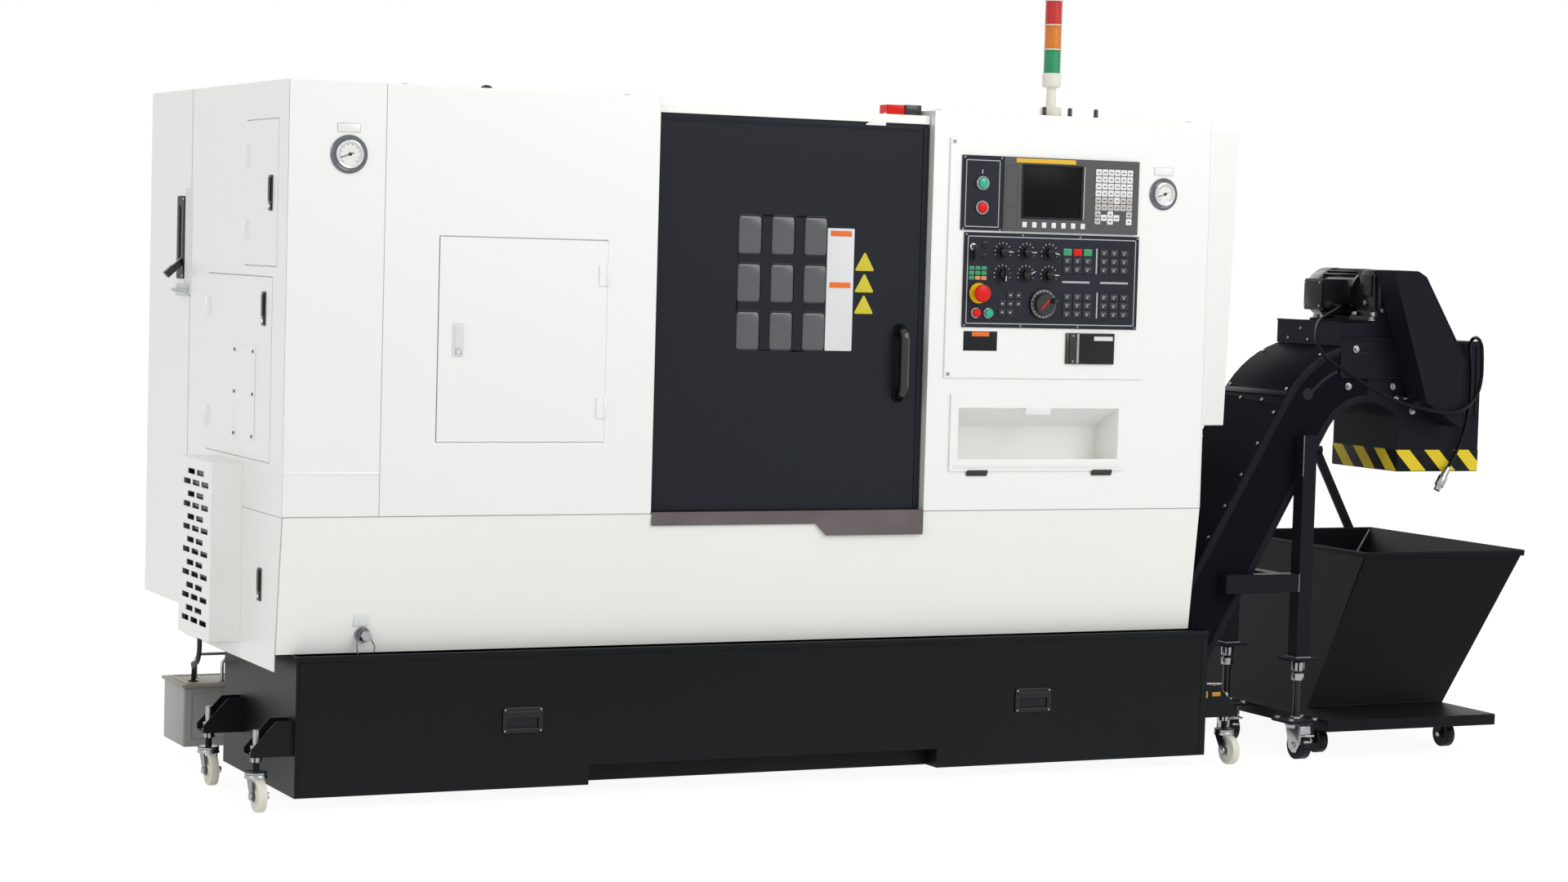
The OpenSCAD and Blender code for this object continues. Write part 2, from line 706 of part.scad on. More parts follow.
module gauges() color("silver") on_floor() {
    rod_y([-14, 0], gauge_left[0], gauge_left[1], 45);
    rod_y([-14, 0], gauge_right[0], gauge_right[1], 42);
}

module signal_tower() color("ivory") on_floor() {
    hex_z([cover_h, cover_h + 28], tower[0], tower[1], 30);
    rod_z([cover_h + 28, cover_h + 80], tower[0], tower[1], 13);
    rod_z([cover_h + 78, cover_h + 117], tower[0], tower[1], 26);
    rod_z([cover_h + 117, cover_h + 308], tower[0], tower[1], 23);
    rod_z([cover_h + 308, cover_h + 323], tower[0], tower[1], 25);
}

// Conveyor
function off_bend(r) = bend + r * [-sin(rise), cos(rise)];
function rise_x(r, z) = off_bend(r)[0] - (off_bend(r)[1] - z) / tan(rise);

module conveyor_profile(inner, outer, x0, z0, z1) {
    polygon([[x0, z0], [rise_x(inner, z0), z0], off_bend(inner), off_bend(outer),
             [rise_x(outer, z1), z1], [x0, z1]]);
    intersection() {
        translate(bend)
            difference() {
                circle(r = outer, $fn = 64);
                circle(r = inner, $fn = 48);
            }
        polygon([bend, bend + 500 * [-sin(rise), cos(rise)], bend + [-250, 500], bend + [0, 500]]);
    }
}

module conveyor_trough() color("#24262c") on_floor() {
    difference() {
        along_y([conv_y, far_y])
            conveyor_profile(bend_in, bend_out, run_x, run_z[0], run_z[1]);
        along_y([conv_y + wall, far_y - wall]) {
            conveyor_profile(bend_in + wall, bend_out - wall, run_x + wall, run_z[0] + wall, run_z[1] + 1);
            rect([bend[0] - 1, bend[0] + 1], [bend[1] + bend_in + wall, bend[1] + bend_out - wall]);
        }
    }
    for (x = [run_x + 160, body_w - 320])
        blk([x, x + 40], [conv_y + 20, far_y - 20], [tank_z + wall, run_z[0] + 2]);
}

module conveyor_head() color("#24262c") on_floor() {
    difference() {
        along_y([conv_y, far_y])
            difference() {
                rect([bend[0], head_x1], [bend[1] + 108, head_z1]);
                translate(bend)
                    circle(r = bend_in, $fn = 48);
            }
        along_y([conv_y + wall, far_y - wall])
            difference() {
                rect([bend[0] - 1, head_x1 - wall], [bend[1] + 107, head_z1 - wall]);
                translate(bend)
                    circle(r = bend_in + wall, $fn = 48);
            }
    }
    difference() {
        blk(base_x, [conv_y, far_y], [head_z1, base_z]);
        blk([base_x[0] + base_t, base_x[1] - base_t], [conv_y + base_t, far_y - base_t], [head_z1 - 1, base_z + 1]);
    }
    blk([base_x[0], base_x[0] + base_t], [conv_y, far_y], [base_foot, head_z1 + 1]);
    blk([base_x[0], bend[0] + 150], [conv_y - wall, conv_y], [bend[1] + 212, head_z1 + base_t]);
    blk([bend[0] + 12, bend[0] + 200], [conv_y, far_y], [base_z, base_z + 6]);
    rod_y([conv_y - 45, conv_y + 1], shaft_out[0], shaft_out[1], 15);
}

module chain_guard() color("#24262c") on_floor()
    difference() {
        along_y([-30, conv_y - wall])
            translate([bend[0], 0])
                polygon([[8, 1332], [89, 1331], [117, 1316], [259, 1091], [262, 916], [249, 904], [133, 973]]);
        along_y([-27, conv_y - wall + 1])
            translate([bend[0], 0])
                polygon([[16, 1327], [88, 1326], [113, 1312], [254, 1089], [257, 918], [247, 911], [138, 979]]);
    }

module conveyor_motor() color("#1d1f24") on_floor() {
    x = shaft_in[0];
    z = shaft_in[1];
    foot = base_z + 6;
    blk([x - 62, x + 62], [conv_y, conv_y + 120], [foot, foot + 12]);
    blk([x - 48, x + 48], [conv_y, conv_y + 110], [foot + 10, z + 68]);
    rod_y([conv_y + 110, conv_y + 330], x, z, 64);
    rod_y([conv_y - 40, conv_y + 1], x, z, 14);
    blk([x - 132, x - 55], [conv_y + 150, conv_y + 240], [z - 46, z + 40]);
    rod_y([gland[1], conv_y + 151], gland[0], gland[2], 12);
}

module discharge_chute() color("#24262c") on_floor() {
    difference() {
        blk([chute_x0, head_x1 + wall], [conv_y, far_y], [bend[1] - 44, bend[1] + 108]);
        blk([chute_x0 + wall, head_x1], [conv_y + wall, far_y - wall], [bend[1] - 45, bend[1] + 109]);
    }
    blk([head_x1, head_x1 + wall], [conv_y, far_y], [bend[1] + 107, head_z1 - 14]);
}

module conveyor_caster(x, y) {
    rod_z([105, 275], x, y, 10);
    hex_z([240, 262], x, y, 17);
    blk([x - 50, x + 50], [y - 45, y + 45], [99, 105]);
    for (k = [-17, 14])
        along_x([x + k, x + k + 3])
            polygon([[y - 22, 99], [y + 22, 99], [y - 6, 26], [y - 30, 26]]);
    rod_x([x - 21, x + 21], y - 18, wheel_r, 6);
    rod_x([x - 14, x + 14], y - 18, wheel_r, wheel_r);
}

module conveyor_frame() color("#24262c") on_floor() {
    x = (post_x[0] + post_x[1]) / 2;
    for (y = [conv_y - post, far_y]) {
        blk(post_x, [y, y + post], [275, 880]);
        blk([body_w + 105, post_x[0] + 1], [y, y + post], beam_z);
        blk([x - 46, x + 46], [y - 8, y + post + 8], [268, 275]);
        conveyor_caster(x, y + post / 2);
    }
    blk([post_x[0] - 70, post_x[0] - 30], [conv_y - 1, far_y + 1], beam_z);
}

// Cart, oil box, cord and hose
module chip_cart() color("#171a1e") on_floor() {
    deck_l = hopper_y + hopper_l + 10;
    difference() {
        blk([cart_x, cart_x + cart_w], [-30, deck_l], deck_z);
        blk([cart_x + 4, cart_x + cart_w - 4], [-26, deck_l - 4], [deck_z[0] - 1, deck_z[1] - 5]);
    }
    difference() {
        along_y([hopper_y, hopper_y + hopper_l])
            polygon([[cart_x + 101, deck_z[1]], [cart_x + cart_w, deck_z[1]], [rim_x, cart_h], [cart_x + 276, cart_h]]);
        along_y([hopper_y + 4, hopper_y + hopper_l - 4])
            polygon([[cart_x + 107, deck_z[1] + 4], [cart_x + cart_w - 5, deck_z[1] + 4],
                     [rim_x - 6, cart_h + 1], [cart_x + 281, cart_h + 1]]);
    }
    for (x = [cart_x + 66, cart_x + cart_w - 66], y = [110, deck_l - 110]) {
        blk([x - 22, x + 22], [y - 26, y + 26], [deck_z[0] - 2, deck_z[1] - 4]);
        for (k = [-17, 14])
            blk([x + k, x + k + 3], [y - 10, y + 10], [cart_wheel_r - 10, deck_z[0]]);
        rod_x([x - 12, x + 12], y, cart_wheel_r, cart_wheel_r);
        rod_x([x - 18, x + 18], y, cart_wheel_r, 5);
    }
    back_y = hopper_y + hopper_l;
    along_y([back_y, back_y + 8]) {
        polygon([[rim_x - 58, 470], [rim_x - 26, 470], [rim_x - 190, 768], [rim_x - 222, 768]]);
        polygon([[cart_x + 238, 470], [cart_x + 270, 470], [cart_x + 106, 768], [cart_x + 74, 768]]);
    }
    blk([cart_x + 74, rim_x - 190], [back_y, back_y + 8], [760, 788]);
}

module oil_box() color("#9a9b98") on_floor() {
    difference() {
        union() {
            blk(oil_x, oil_y, [0, oil_h]);
            blk([oil_x[0] - 8, oil_x[1] + 8], [oil_y[0] - 8, oil_y[1]], [oil_h, oil_h + 5]);
        }
        blk([oil_x[0] + 4, oil_x[1] - 4], [oil_y[0] + 4, oil_y[1] - 4], [4, oil_h - 1]);
        rod_z([oil_h - 2, oil_h + 6], 95, 1056, hose_r + 2);
    }
    for (h = [[[120, 230], 1125], [[165, 275], 1030]]) {
        for (x = h[0])
            rod_z([oil_h + 4, oil_h + 68], x, h[1], 5);
        rod_x([h[0][0] - 5, h[0][1] + 5], h[1], oil_h + 68, 5);
    }
}

module drain_hose() color("black") on_floor() tube(hose_route, hose_r, [1, 0, 0]);

module motor_cord() color("black") on_floor() tube(cord_route, cord_r, [1, 0, 0]);

module cord_plug() color("silver") on_floor() {
    tip = cord_route[len(cord_route) - 1];
    d = tip - cord_route[len(cord_route) - 2];
    translate(tip)
        rotate([0, atan2(d[0], d[2]), 0]) {
            cylinder(h = 30, r = 10);
            translate([0, 0, 30])
                cylinder(h = 28, r = 13);
            translate([0, 0, 58])
                cylinder(h = 14, r = 9);
        }
}

bed_casting();
leveling_feet();
headstock_casting();
bed_rails();
headstock_guard();
left_end_cover();
headstock_cover();
console_cover();
right_end_cover();
rear_cover();
door_track();
interlock_switch();
door_sill();
apron();
electrical_cabinet();
cooler_box();
coolant_tank();
console_plate();
display_unit();
operator_panel();
gauges();
signal_tower();
conveyor_trough();
conveyor_head();
chain_guard();
conveyor_motor();
discharge_chute();
conveyor_frame();
chip_cart();
oil_box();
drain_hose();
motor_cord();
cord_plug();
main_door();
door_windows();
door_handle();
access_door();
side_door_upper();
side_door_lower();
bin_flap();
bin_pocket();
data_cover();
disconnect_lever();
estop_button();
power_on_button();
power_off_button();
handwheel();
spindle();
chuck();
saddle();
turret_slide();
turret_disc();
tailstock();
quill();
front_caster_fork();
front_caster_wheel();
rear_caster_fork();
rear_caster_wheel();
right_caster_fork();
right_caster_wheel();
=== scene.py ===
"""Looks of a CNC turning lathe with its chip conveyor, chip cart and oil box."""

import logging
import math
from dataclasses import dataclass
from enum import Enum
from functools import cache, partial
from itertools import product
from typing import Any, ClassVar, Iterable, Sequence

import bmesh
import bpy
from mathutils import Matrix, Vector


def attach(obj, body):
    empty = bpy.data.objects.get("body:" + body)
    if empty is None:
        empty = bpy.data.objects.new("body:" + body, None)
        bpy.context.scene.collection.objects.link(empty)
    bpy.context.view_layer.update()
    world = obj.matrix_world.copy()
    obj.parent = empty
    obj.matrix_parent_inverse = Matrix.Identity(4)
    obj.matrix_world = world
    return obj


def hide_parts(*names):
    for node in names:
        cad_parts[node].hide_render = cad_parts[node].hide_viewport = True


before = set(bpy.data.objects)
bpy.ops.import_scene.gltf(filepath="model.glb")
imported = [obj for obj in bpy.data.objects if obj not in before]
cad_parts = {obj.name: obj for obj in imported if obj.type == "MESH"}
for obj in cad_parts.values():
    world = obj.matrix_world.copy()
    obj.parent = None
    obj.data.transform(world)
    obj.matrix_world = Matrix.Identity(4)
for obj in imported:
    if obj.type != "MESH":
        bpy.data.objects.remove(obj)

LOG = logging.getLogger("lathe")
ORIGIN_MM = Vector((1841.5, 577.0, 0.0))  # the frame's origin on the machine
MM = 0.001  # metres
MERGE_MM = 0.001  # points closer than this become one
SHARP = 0.8  # edges of a part bent more than this are rounded, in radians
SMOOTH = 0.6  # edges of a piece bent less than this are shaded smooth, in radians
COVER_TOP = 1705.0
COVER_SEAM = 688.0
DUST = "8f8a80"
Span = tuple[float, float]
Point2 = tuple[float, float]
Point3 = tuple[float, float, float]
Socket = bpy.types.NodeSocket


def at(x: float, y: float, z: float) -> Vector:
    """Turns a place on the machine in millimetres into metres in the frame.

    Args:
        x: Distance to the right of the left cover.
        y: Distance behind the front covers.
        z: Height above the floor.

    Returns:
        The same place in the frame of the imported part.
    """
    return (Vector((x, y, z)) - ORIGIN_MM) / 1000.0


def linear(hex_colour: str) -> tuple[float, float, float, float]:
    """Turns a screen colour such as 'efefed' into linear values.

    Args:
        hex_colour: Six hexadecimal digits.

    Returns:
        Red, green, blue and alpha for a shader socket.
    """
    values = [int(hex_colour[i : i + 2], 16) / 255.0 for i in (0, 2, 4)]
    lin = [v / 12.92 if v <= 0.04045 else ((v + 0.055) / 1.055) ** 2.4 for v in values]
    return (lin[0], lin[1], lin[2], 1.0)


class Way(Enum):
    """Direction in which a turned piece or a rod points."""

    RIGHT = (1, 0, 0)
    LEFT = (-1, 0, 0)
    FRONT = (0, -1, 0)
    BACK = (0, 1, 0)
    UP = (0, 0, 1)


class Plane(Enum):
    """Plane of a plate: the axes of its outline and the axis across it."""

    FRONT = (0, 2, 1)
    SIDE = (1, 2, 0)
    TOP = (0, 1, 2)

    def spot(self, u: float, v: float, across: float) -> Vector:
        """Place of a point of the plane.

        Args:
            u: First coordinate in the plane.
            v: Second coordinate in the plane.
            across: Coordinate across it.

        Returns:
            The place on the machine.
        """
        place = Vector((0, 0, 0))
        for axis, value in zip(self.value, (u, v, across)):
            place[axis] = value
        return place


FRONT, SIDE, TOP = Plane


class Grain(Enum):
    """Fine relief of a finish: its scale and its strength."""

    SPRAYED = (900.0, 0.05)
    MOULDED = (1600.0, 0.08)
    CAST = (260.0, 0.25)
    ROLLED = (700.0, 0.03)
    SMOOTH = (400.0, 0.0)


class Net:
    """Adds and links the nodes of one shader tree."""

    def __init__(self, tree: bpy.types.NodeTree) -> None:
        """Takes the tree.

        Args:
            tree: Tree of a material, a world or a group.
        """
        self.tree = tree

    def feed(self, node: bpy.types.Node, values: dict[str | int, Any]) -> None:
        """Sets or links inputs of a node.

        Args:
            node: The node.
            values: The value of each input, or the socket that it is linked to.
        """
        for key, value in values.items():
            if isinstance(value, Socket):
                self.tree.links.new(value, node.inputs[key])
            else:
                node.inputs[key].default_value = value

    def add(self, kind: str, values: dict[str | int, Any], **settings: Any) -> bpy.types.NodeOutputs:
        """Adds a node.

        Args:
            kind: Its type, without ShaderNode.
            values: Its inputs; see feed().
            settings: Its properties.

        Returns:
            The node's outputs.
        """
        node = self.tree.nodes.new("ShaderNode" + kind)
        for name, value in settings.items():
            setattr(node, name, value)
        self.feed(node, values)
        return node.outputs

    def maths(self, operation: str, *values: Socket | float) -> Socket:
        """Adds a calculation.

        Args:
            operation: What it does.
            values: What it does it with.

        Returns:
            The socket of the result.
        """
        return self.add("Math", dict(enumerate(values)), operation=operation)[0]

    def mix(self, share: Socket, first: Any, second: Any) -> Socket:
        """Mixes two colours.

        Args:
            share: Share of the second colour.
            first: First colour, as values or a socket.
            second: Second colour.

        Returns:
            The socket of the mixed colour.
        """
        return self.add("Mix", {0: share, 6: first, 7: second}, data_type="RGBA")[2]

    def place(self) -> tuple[Socket, bpy.types.NodeOutputs]:
        """Adds object coordinates.

        Returns:
            The place as a whole and as X, Y and Z.
        """
        whole = self.add("TexCoord", {})["Object"]
        return whole, self.add("SeparateXYZ", {0: whole})


def new_group(name: str, inputs: dict[str, float], outputs: Iterable[str]) -> tuple[Net, Any, bpy.types.Node]:
    """Starts a node group with float sockets.

    Args:
        name: Name of the group.
        inputs: Default value of each input.
        outputs: Names of the outputs.

    Returns:
        The group's net, the sockets that come in and the node of its outputs.
    """
    tree = bpy.data.node_groups.new(name, "ShaderNodeTree")
    for label, value in inputs.items():
        tree.interface.new_socket(label, in_out="INPUT", socket_type="NodeSocketFloat").default_value = value
    for label in outputs:
        tree.interface.new_socket(label, in_out="OUTPUT", socket_type="NodeSocketFloat")
    given = tree.nodes.new("NodeGroupInput")
    return Net(tree), given.outputs, tree.nodes.new("NodeGroupOutput")


@cache
def surface_group() -> bpy.types.NodeTree:
    """Makes the cloudy tone of a large surface and the fine relief of its finish.

    Returns:
        A group with the outputs Tone, Relief and Streak.
    """
    sizes = {"Cloud": 3.0, "Fine": 900.0, "StretchX": 1.0, "StretchZ": 1.0}
    net, given, out = new_group("surface", sizes, ("Tone", "Relief", "Streak"))
    whole, parts = net.place()
    wide = net.maths("MULTIPLY", parts["X"], given["StretchX"])
    tall = net.maths("MULTIPLY", parts["Z"], given["StretchZ"])
    stretched = net.add("CombineXYZ", {"X": wide, "Y": parts["Y"], "Z": tall})[0]
    for scale, source, detail, target in (
        ("Cloud", whole, 4.0, "Tone"), ("Fine", whole, 1.0, "Relief"), ("Fine", stretched, 3.0, "Streak"),
    ):
        noise = net.add("TexNoise", {"Vector": source, "Scale": given[scale], "Detail": detail})
        net.feed(out, {target: noise[0]})
    return net.tree


@cache
def dust_group() -> bpy.types.NodeTree:
    """Makes dust that gathers towards the floor and thins out upwards.

    Returns:
        A group with the output Mask.
    """
    net, given, out = new_group("dust", {"Height": 0.3, "Amount": 0.2, "Patch": 9.0}, ("Mask",))
    whole, parts = net.place()
    reach = {"Value": parts["Z"], "From Min": 0.0, "From Max": given["Height"]}
    fall = net.add("MapRange", {**reach, "To Min": given["Amount"], "To Max": 0.0})[0]
    noise = net.add("TexNoise", {"Vector": whole, "Scale": given["Patch"], "Detail": 5.0})[0]
    net.feed(out, {"Mask": net.maths("MULTIPLY", fall, noise)})
    return net.tree


@dataclass(frozen=True)
class Finish:
    """A surface finish, made once as a material."""

    name: str
    colour: str
    rough: float = 0.4
    metallic: float = 0.0
    grain: Grain = Grain.SPRAYED
    tone: float = 0.04
    cloud: float = 3.0
    brushed: tuple[float, float] = (1.0, 1.0)
    dust: float = 0.0
    coat: float = 0.0
    specular: float = 0.5
    rough_spread: ClassVar[float] = 0.05
    least_rough: ClassVar[float] = 0.02
    relief_depth: ClassVar[float] = 0.0006

    def colours(self, net: Net, tone: Socket) -> Socket:
        """Base colour with its cloudy tone.

        Args:
            net: The material's nodes.
            tone: The surface group's cloudy value.

        Returns:
            The socket that holds the colour.
        """
        base = linear(self.colour)[:3]
        dark = (*(c * (1 - self.tone) for c in base), 1.0)
        return net.mix(tone, dark, (*(min(1.0, c * (1 + self.tone)) for c in base), 1.0))

    def special(self) -> dict[str | int, Any]:
        """More inputs of the shader.

        Returns:
            Their values, none in a plain finish.
        """
        return {}

    def material(self) -> bpy.types.Material:
        """Builds the material, or finds it again.

        Returns:
            The material of this finish.
        """
        found = bpy.data.materials.get(self.name)
        if found:
            return found
        made = bpy.data.materials.new(self.name)
        made.use_nodes = True
        net = Net(made.node_tree)
        fine, relief = self.grain.value
        sizes = {"Cloud": self.cloud, "Fine": fine, "StretchX": self.brushed[0], "StretchZ": self.brushed[1]}
        surface = net.add("Group", sizes, node_tree=surface_group())
        colour = self.colours(net, surface["Tone"])
        if self.dust:
            mask = net.add("Group", {"Amount": self.dust}, node_tree=dust_group())["Mask"]
            colour = net.mix(mask, colour, linear(DUST))
        low = max(self.least_rough, self.rough - self.rough_spread)
        ends = {"To Min": low, "To Max": self.rough + self.rough_spread}
        rough = net.add("MapRange", {"Value": surface["Streak"], **ends})[0]
        values = {
            "Base Color": colour, "Roughness": rough, "Metallic": self.metallic, "Coat Weight": self.coat,
            "Specular IOR Level": self.specular, **self.special(),
        }
        if relief:
            bump = {"Strength": relief, "Distance": self.relief_depth, "Height": surface["Relief"]}
            values["Normal"] = net.add("Bump", bump)[0]
        net.feed(made.node_tree.nodes["Principled BSDF"], values)
        return made


@dataclass(frozen=True)
class Clear(Finish):
    """Glass or lens plastic that lets light through."""

    through: float = 0.5

    def special(self) -> dict[str | int, Any]:
        """Inputs that let light through.

        Returns:
            Their values.
        """
        return {"Transmission Weight": self.through, "IOR": 1.5}


@dataclass(frozen=True)
class Striped(Finish):
    """Diagonal bands in two colours."""

    second: str = "111315"
    pitch: float = 0.1

    def colours(self, net: Net, tone: Socket) -> Socket:
        """Colour of the bands, slanted in every upright plane.

        Args:
            net: The material's nodes.
            tone: The surface group's cloudy value.

        Returns:
            The socket that holds the colour.
        """
        first = super().colours(net, tone)
        parts = net.place()[1]
        slant = net.maths("ADD", net.maths("SUBTRACT", parts["X"], parts["Y"]), parts["Z"])
        part = net.maths("FRACT", net.maths("MULTIPLY", slant, 1.0 / self.pitch))
        return net.mix(net.maths("GREATER_THAN", part, 0.5), first, linear(self.second))


smooth = partial(Finish, grain=Grain.SMOOTH)
moulded = partial(Finish, grain=Grain.MOULDED)
metal = partial(Finish, metallic=1.0, grain=Grain.ROLLED)
lamp_lens = partial(Clear, rough=0.16, grain=Grain.SMOOTH, tone=0.1, cloud=30.0, through=0.3)

WHITE = Finish("white_paint", "f1f1ed", 0.45, tone=0.012, specular=0.08)
# brighter copy of the white paint for the apron: painted light on the lower front, which the lamps light less
WHITE_APRON_PAINTED_LIGHT = Finish("white_apron_painted_light", "fafaf5", 0.45, tone=0.012, specular=0.08)
WHITE_SIDE = Finish("white_inner", "f4f4f1", 0.42, tone=0.015, specular=0.15)
CHARCOAL = Finish("charcoal_paint", "1f232a", 0.36, tone=0.05, specular=0.15)
TANK_BLACK = Finish("tank_paint", "131518", 0.4, tone=0.1, dust=0.03, specular=0.12)
MOTOR = Finish("motor_paint", "17181b", 0.26, grain=Grain.CAST, tone=0.1, specular=0.4)
NAVY = Finish("conveyor_paint", "171a22", 0.4, tone=0.09, specular=0.08)
# darker copy of the conveyor paint with almost no reflection: painted shade on the trough, which is the same paint as
# the head
TROUGH_SHADED = Finish("trough_paint_shaded", "13161c", 0.5, tone=0.09, specular=0.01)
CART_BLACK = Finish("cart_paint", "0c0e12", 0.42, tone=0.12, dust=0.03, specular=0.1)
CAST = Finish("cast_paint", "6d7573", 0.6, grain=Grain.CAST, tone=0.08)
STEEL = metal("ground_steel", "b9babc", 0.28, tone=0.06, brushed=(0.03, 1.0))
SILL = metal("worn_steel", "6a6262", 0.4, metallic=0.9, tone=0.3, cloud=9.0, brushed=(0.03, 1.0))
ZINC = metal("zinc_plate", "a6a9ab", 0.3, tone=0.16, cloud=30.0)
CHROME = metal("chrome", "dfe1e3", 0.08, grain=Grain.SMOOTH, tone=0.03)
DARK_CHROME = metal("dark_chrome", "6c6f74", 0.14, grain=Grain.SMOOTH, tone=0.1)
JOINT = smooth("joint_shadow", "a9a9a6", 0.6, specular=0.1)
BRASS = metal("brass", "b58a3c", 0.28, tone=0.08, cloud=20.0)
GREY_CASE = moulded("unit_case", "59595b", 0.5, tone=0.03, specular=0.25)
PANEL = moulded("panel_film", "23252f", 0.46, tone=0.05, specular=0.2)
PANEL_EDGE = Finish("panel_edge", "1a1c20", 0.4, tone=0.04, specular=0.2)
BLACK = moulded("black_plastic", "0e0f11", 0.34, tone=0.06, specular=0.25)
POLISHED = smooth("polished_black", "0a0b0c", 0.12, tone=0.06, specular=0.6)
GLOSS_BLACK = smooth("gloss_black", "08090a", 0.2, tone=0.06, specular=0.35)
RUBBER = moulded("rubber", "17181a", 0.62, tone=0.1)
CORD = smooth("cord_sheath", "050607", 0.34, tone=0.1, specular=0.12)
KEY_WHITE = moulded("key_white", "efefef", 0.45, tone=0.02)
KEY_GREY = moulded("key_grey", "c9c6c2", 0.45, tone=0.02)
KEY_DARK = moulded("key_dark", "34363c", 0.4, tone=0.05, specular=0.25)
MARK = smooth("mark_white", "e6e8ea", 0.5, tone=0.01)
LINE = smooth("line_silver", "b4b9bd", 0.4, tone=0.02)
GREEN = smooth("button_green", "1f9a62", 0.25, coat=0.4)
TEAL = smooth("button_teal", "14b08a", 0.22, coat=0.4)
RED = smooth("button_red", "e0190f", 0.3, specular=0.25)
ORANGE = smooth("orange", "f0721e", 0.4, tone=0.03)
PEACH = smooth("lamp_orange", "e79a63", 0.4, tone=0.03)
YELLOW = smooth("yellow", "f0c80f", 0.4, tone=0.03, specular=0.25)
PALE_YELLOW = smooth("pale_yellow", "d6c83a", 0.5, tone=0.03, specular=0.25)
AMBER_BAR = smooth("strip_yellow", "f0bd2a", 0.4, tone=0.05)
SCREEN = smooth("screen_glass", "070a08", 0.3, tone=0.1, specular=0.1)
DIAL = smooth("dial_face", "f2f2ee", 0.4, tone=0.02)
NYLON = moulded("wheel_nylon", "ece8da", 0.45, tone=0.05, cloud=40.0)
BOX_GREY = Finish("box_paint", "a3a4a1", 0.42, tone=0.05, dust=0.1)
LID = Finish("lid_paint", "9d9489", 0.5, tone=0.1, cloud=12.0)
IVORY = moulded("tower_ivory", "e9e6da", 0.4, tone=0.03)
WELD = Finish("weld_grey", "74787c", 0.5, 0.6, Grain.CAST, 0.3, 90.0)
PANE = Clear("window_pane", "5d6063", 0.16, grain=Grain.SMOOTH, tone=0.12, cloud=2.0, through=0.12)
LENS_RED, LENS_AMBER = lamp_lens("lens_red", "d9241c"), lamp_lens("lens_amber", "f08a1c")
LENS_GREEN = lamp_lens("lens_green", "12a06a")
HAZARD = Striped("hazard_band", "e6cc34", 0.45, tone=0.04, specular=0.12)


def corner_ways(outline: Sequence[Point2], i: int) -> tuple[Vector, Vector, Vector]:
    """A corner of an outline and the ways to its two neighbours.

    Args:
        outline: Corners in order.
        i: Number of the corner.

    Returns:
        The corner, and the vectors to the corner before and the one after it.
    """
    here = Vector(outline[i])
    return here, Vector(outline[i - 1]) - here, Vector(outline[(i + 1) % len(outline)]) - here


def shrunk(outline: Sequence[Point2], width: float) -> list[Point2]:
    """Outline moved inwards by a width.

    Args:
        outline: Corners of a convex outline in order.
        width: How far its sides move.

    Returns:
        The corners of the smaller outline.
    """
    corners: list[Point2] = []
    for i in range(len(outline)):
        here, before, after = corner_ways(outline, i)
        reach = width / math.sin(before.angle(after))
        corners.append(tuple(here + (before.normalized() + after.normalized()) * reach))
    return corners


def rounded(outline: Sequence[Point2], radius: float, steps: int = 5, most: float = 0.48) -> list[Point2]:
    """Outline with round corners.

    Args:
        outline: Corners in order.
        radius: Radius of the corners; 0 leaves them sharp.
        steps: Steps round each corner.
        most: Largest share of a side that a corner takes.

    Returns:
        The points of the new outline.
    """
    if radius <= 0:
        return list(outline)
    points: list[Point2] = []
    for i in range(len(outline)):
        here, before, after = corner_ways(outline, i)
        reach = radius / math.tan(before.angle(after) / 2)
        first, last = (here + w.normalized() * min(reach, w.length * most) for w in (before, after))
        for k in range(steps + 1):
            t = k / steps
            points.append(tuple(first.lerp(here, t).lerp(here.lerp(last, t), t)))
    return points


def arc(centre: Point2, radius: float, start: float, end: float, steps: int) -> list[Point2]:
    """Points on a round bend.

    Args:
        centre: Middle of the bend.
        radius: Radius of the bend.
        start: First angle in degrees.
        end: Last angle in degrees.
        steps: Number of steps.

    Returns:
        The points in order.
    """
    return [polar(centre, radius, start + (end - start) * i / steps) for i in range(steps + 1)]


def polar(centre: Point2, radius: float, angle: float) -> Point2:
    """Point at an angle in degrees round a centre."""
    turn = math.radians(angle)
    return (centre[0] + radius * math.cos(turn), centre[1] + radius * math.sin(turn))


def strip(a: Point2, b: Point2, width: float) -> list[Point2]:
    """Corners of a flat bar along a line.

    Args:
        a: First end.
        b: Second end.
        width: Width of the bar.

    Returns:
        The four corners in order.
    """
    along = Vector(b) - Vector(a)
    side = Vector((-along.y, along.x)).normalized() * width / 2
    return [tuple(Vector(a) - side), tuple(Vector(b) - side), tuple(Vector(b) + side), tuple(Vector(a) + side)]


def grown(span: Span, by: float) -> Span:
    """Span that is longer at both ends, or shorter where the value is negative."""
    return (span[0] - by, span[1] + by)


def tread(half: list[Point2]) -> list[Point2]:
    """Closed profile of a wheel from its left half, given from the hub to the tread."""
    return half + [(-along, radius) for along, radius in reversed(half)] + half[:1]


def thread(count: int, pitch: float, ways: Point3, core: float, crest: float) -> list[Point2]:
    """Profile of a threaded rod.

    Args:
        count: Number of turns.
        pitch: Distance of the turns.
        ways: Start, crest and end of each turn.
        core: Radius between the turns.
        crest: Radius on the turns.

    Returns:
        Distance along the rod and radius of each point.
    """
    radii = (core, crest, core)
    return [(0, core)] + [(k * pitch + way, r) for k in range(count) for way, r in zip(ways, radii)]


def placed(name: str, data: bpy.types.ID) -> bpy.types.Object:
    """Puts data in the scene as a new object.

    Args:
        name: Name of the object.
        data: Its mesh, curve, lamp or camera.

    Returns:
        The object.
    """
    made = bpy.data.objects.new(name, data)
    bpy.context.scene.collection.objects.link(made)
    return made


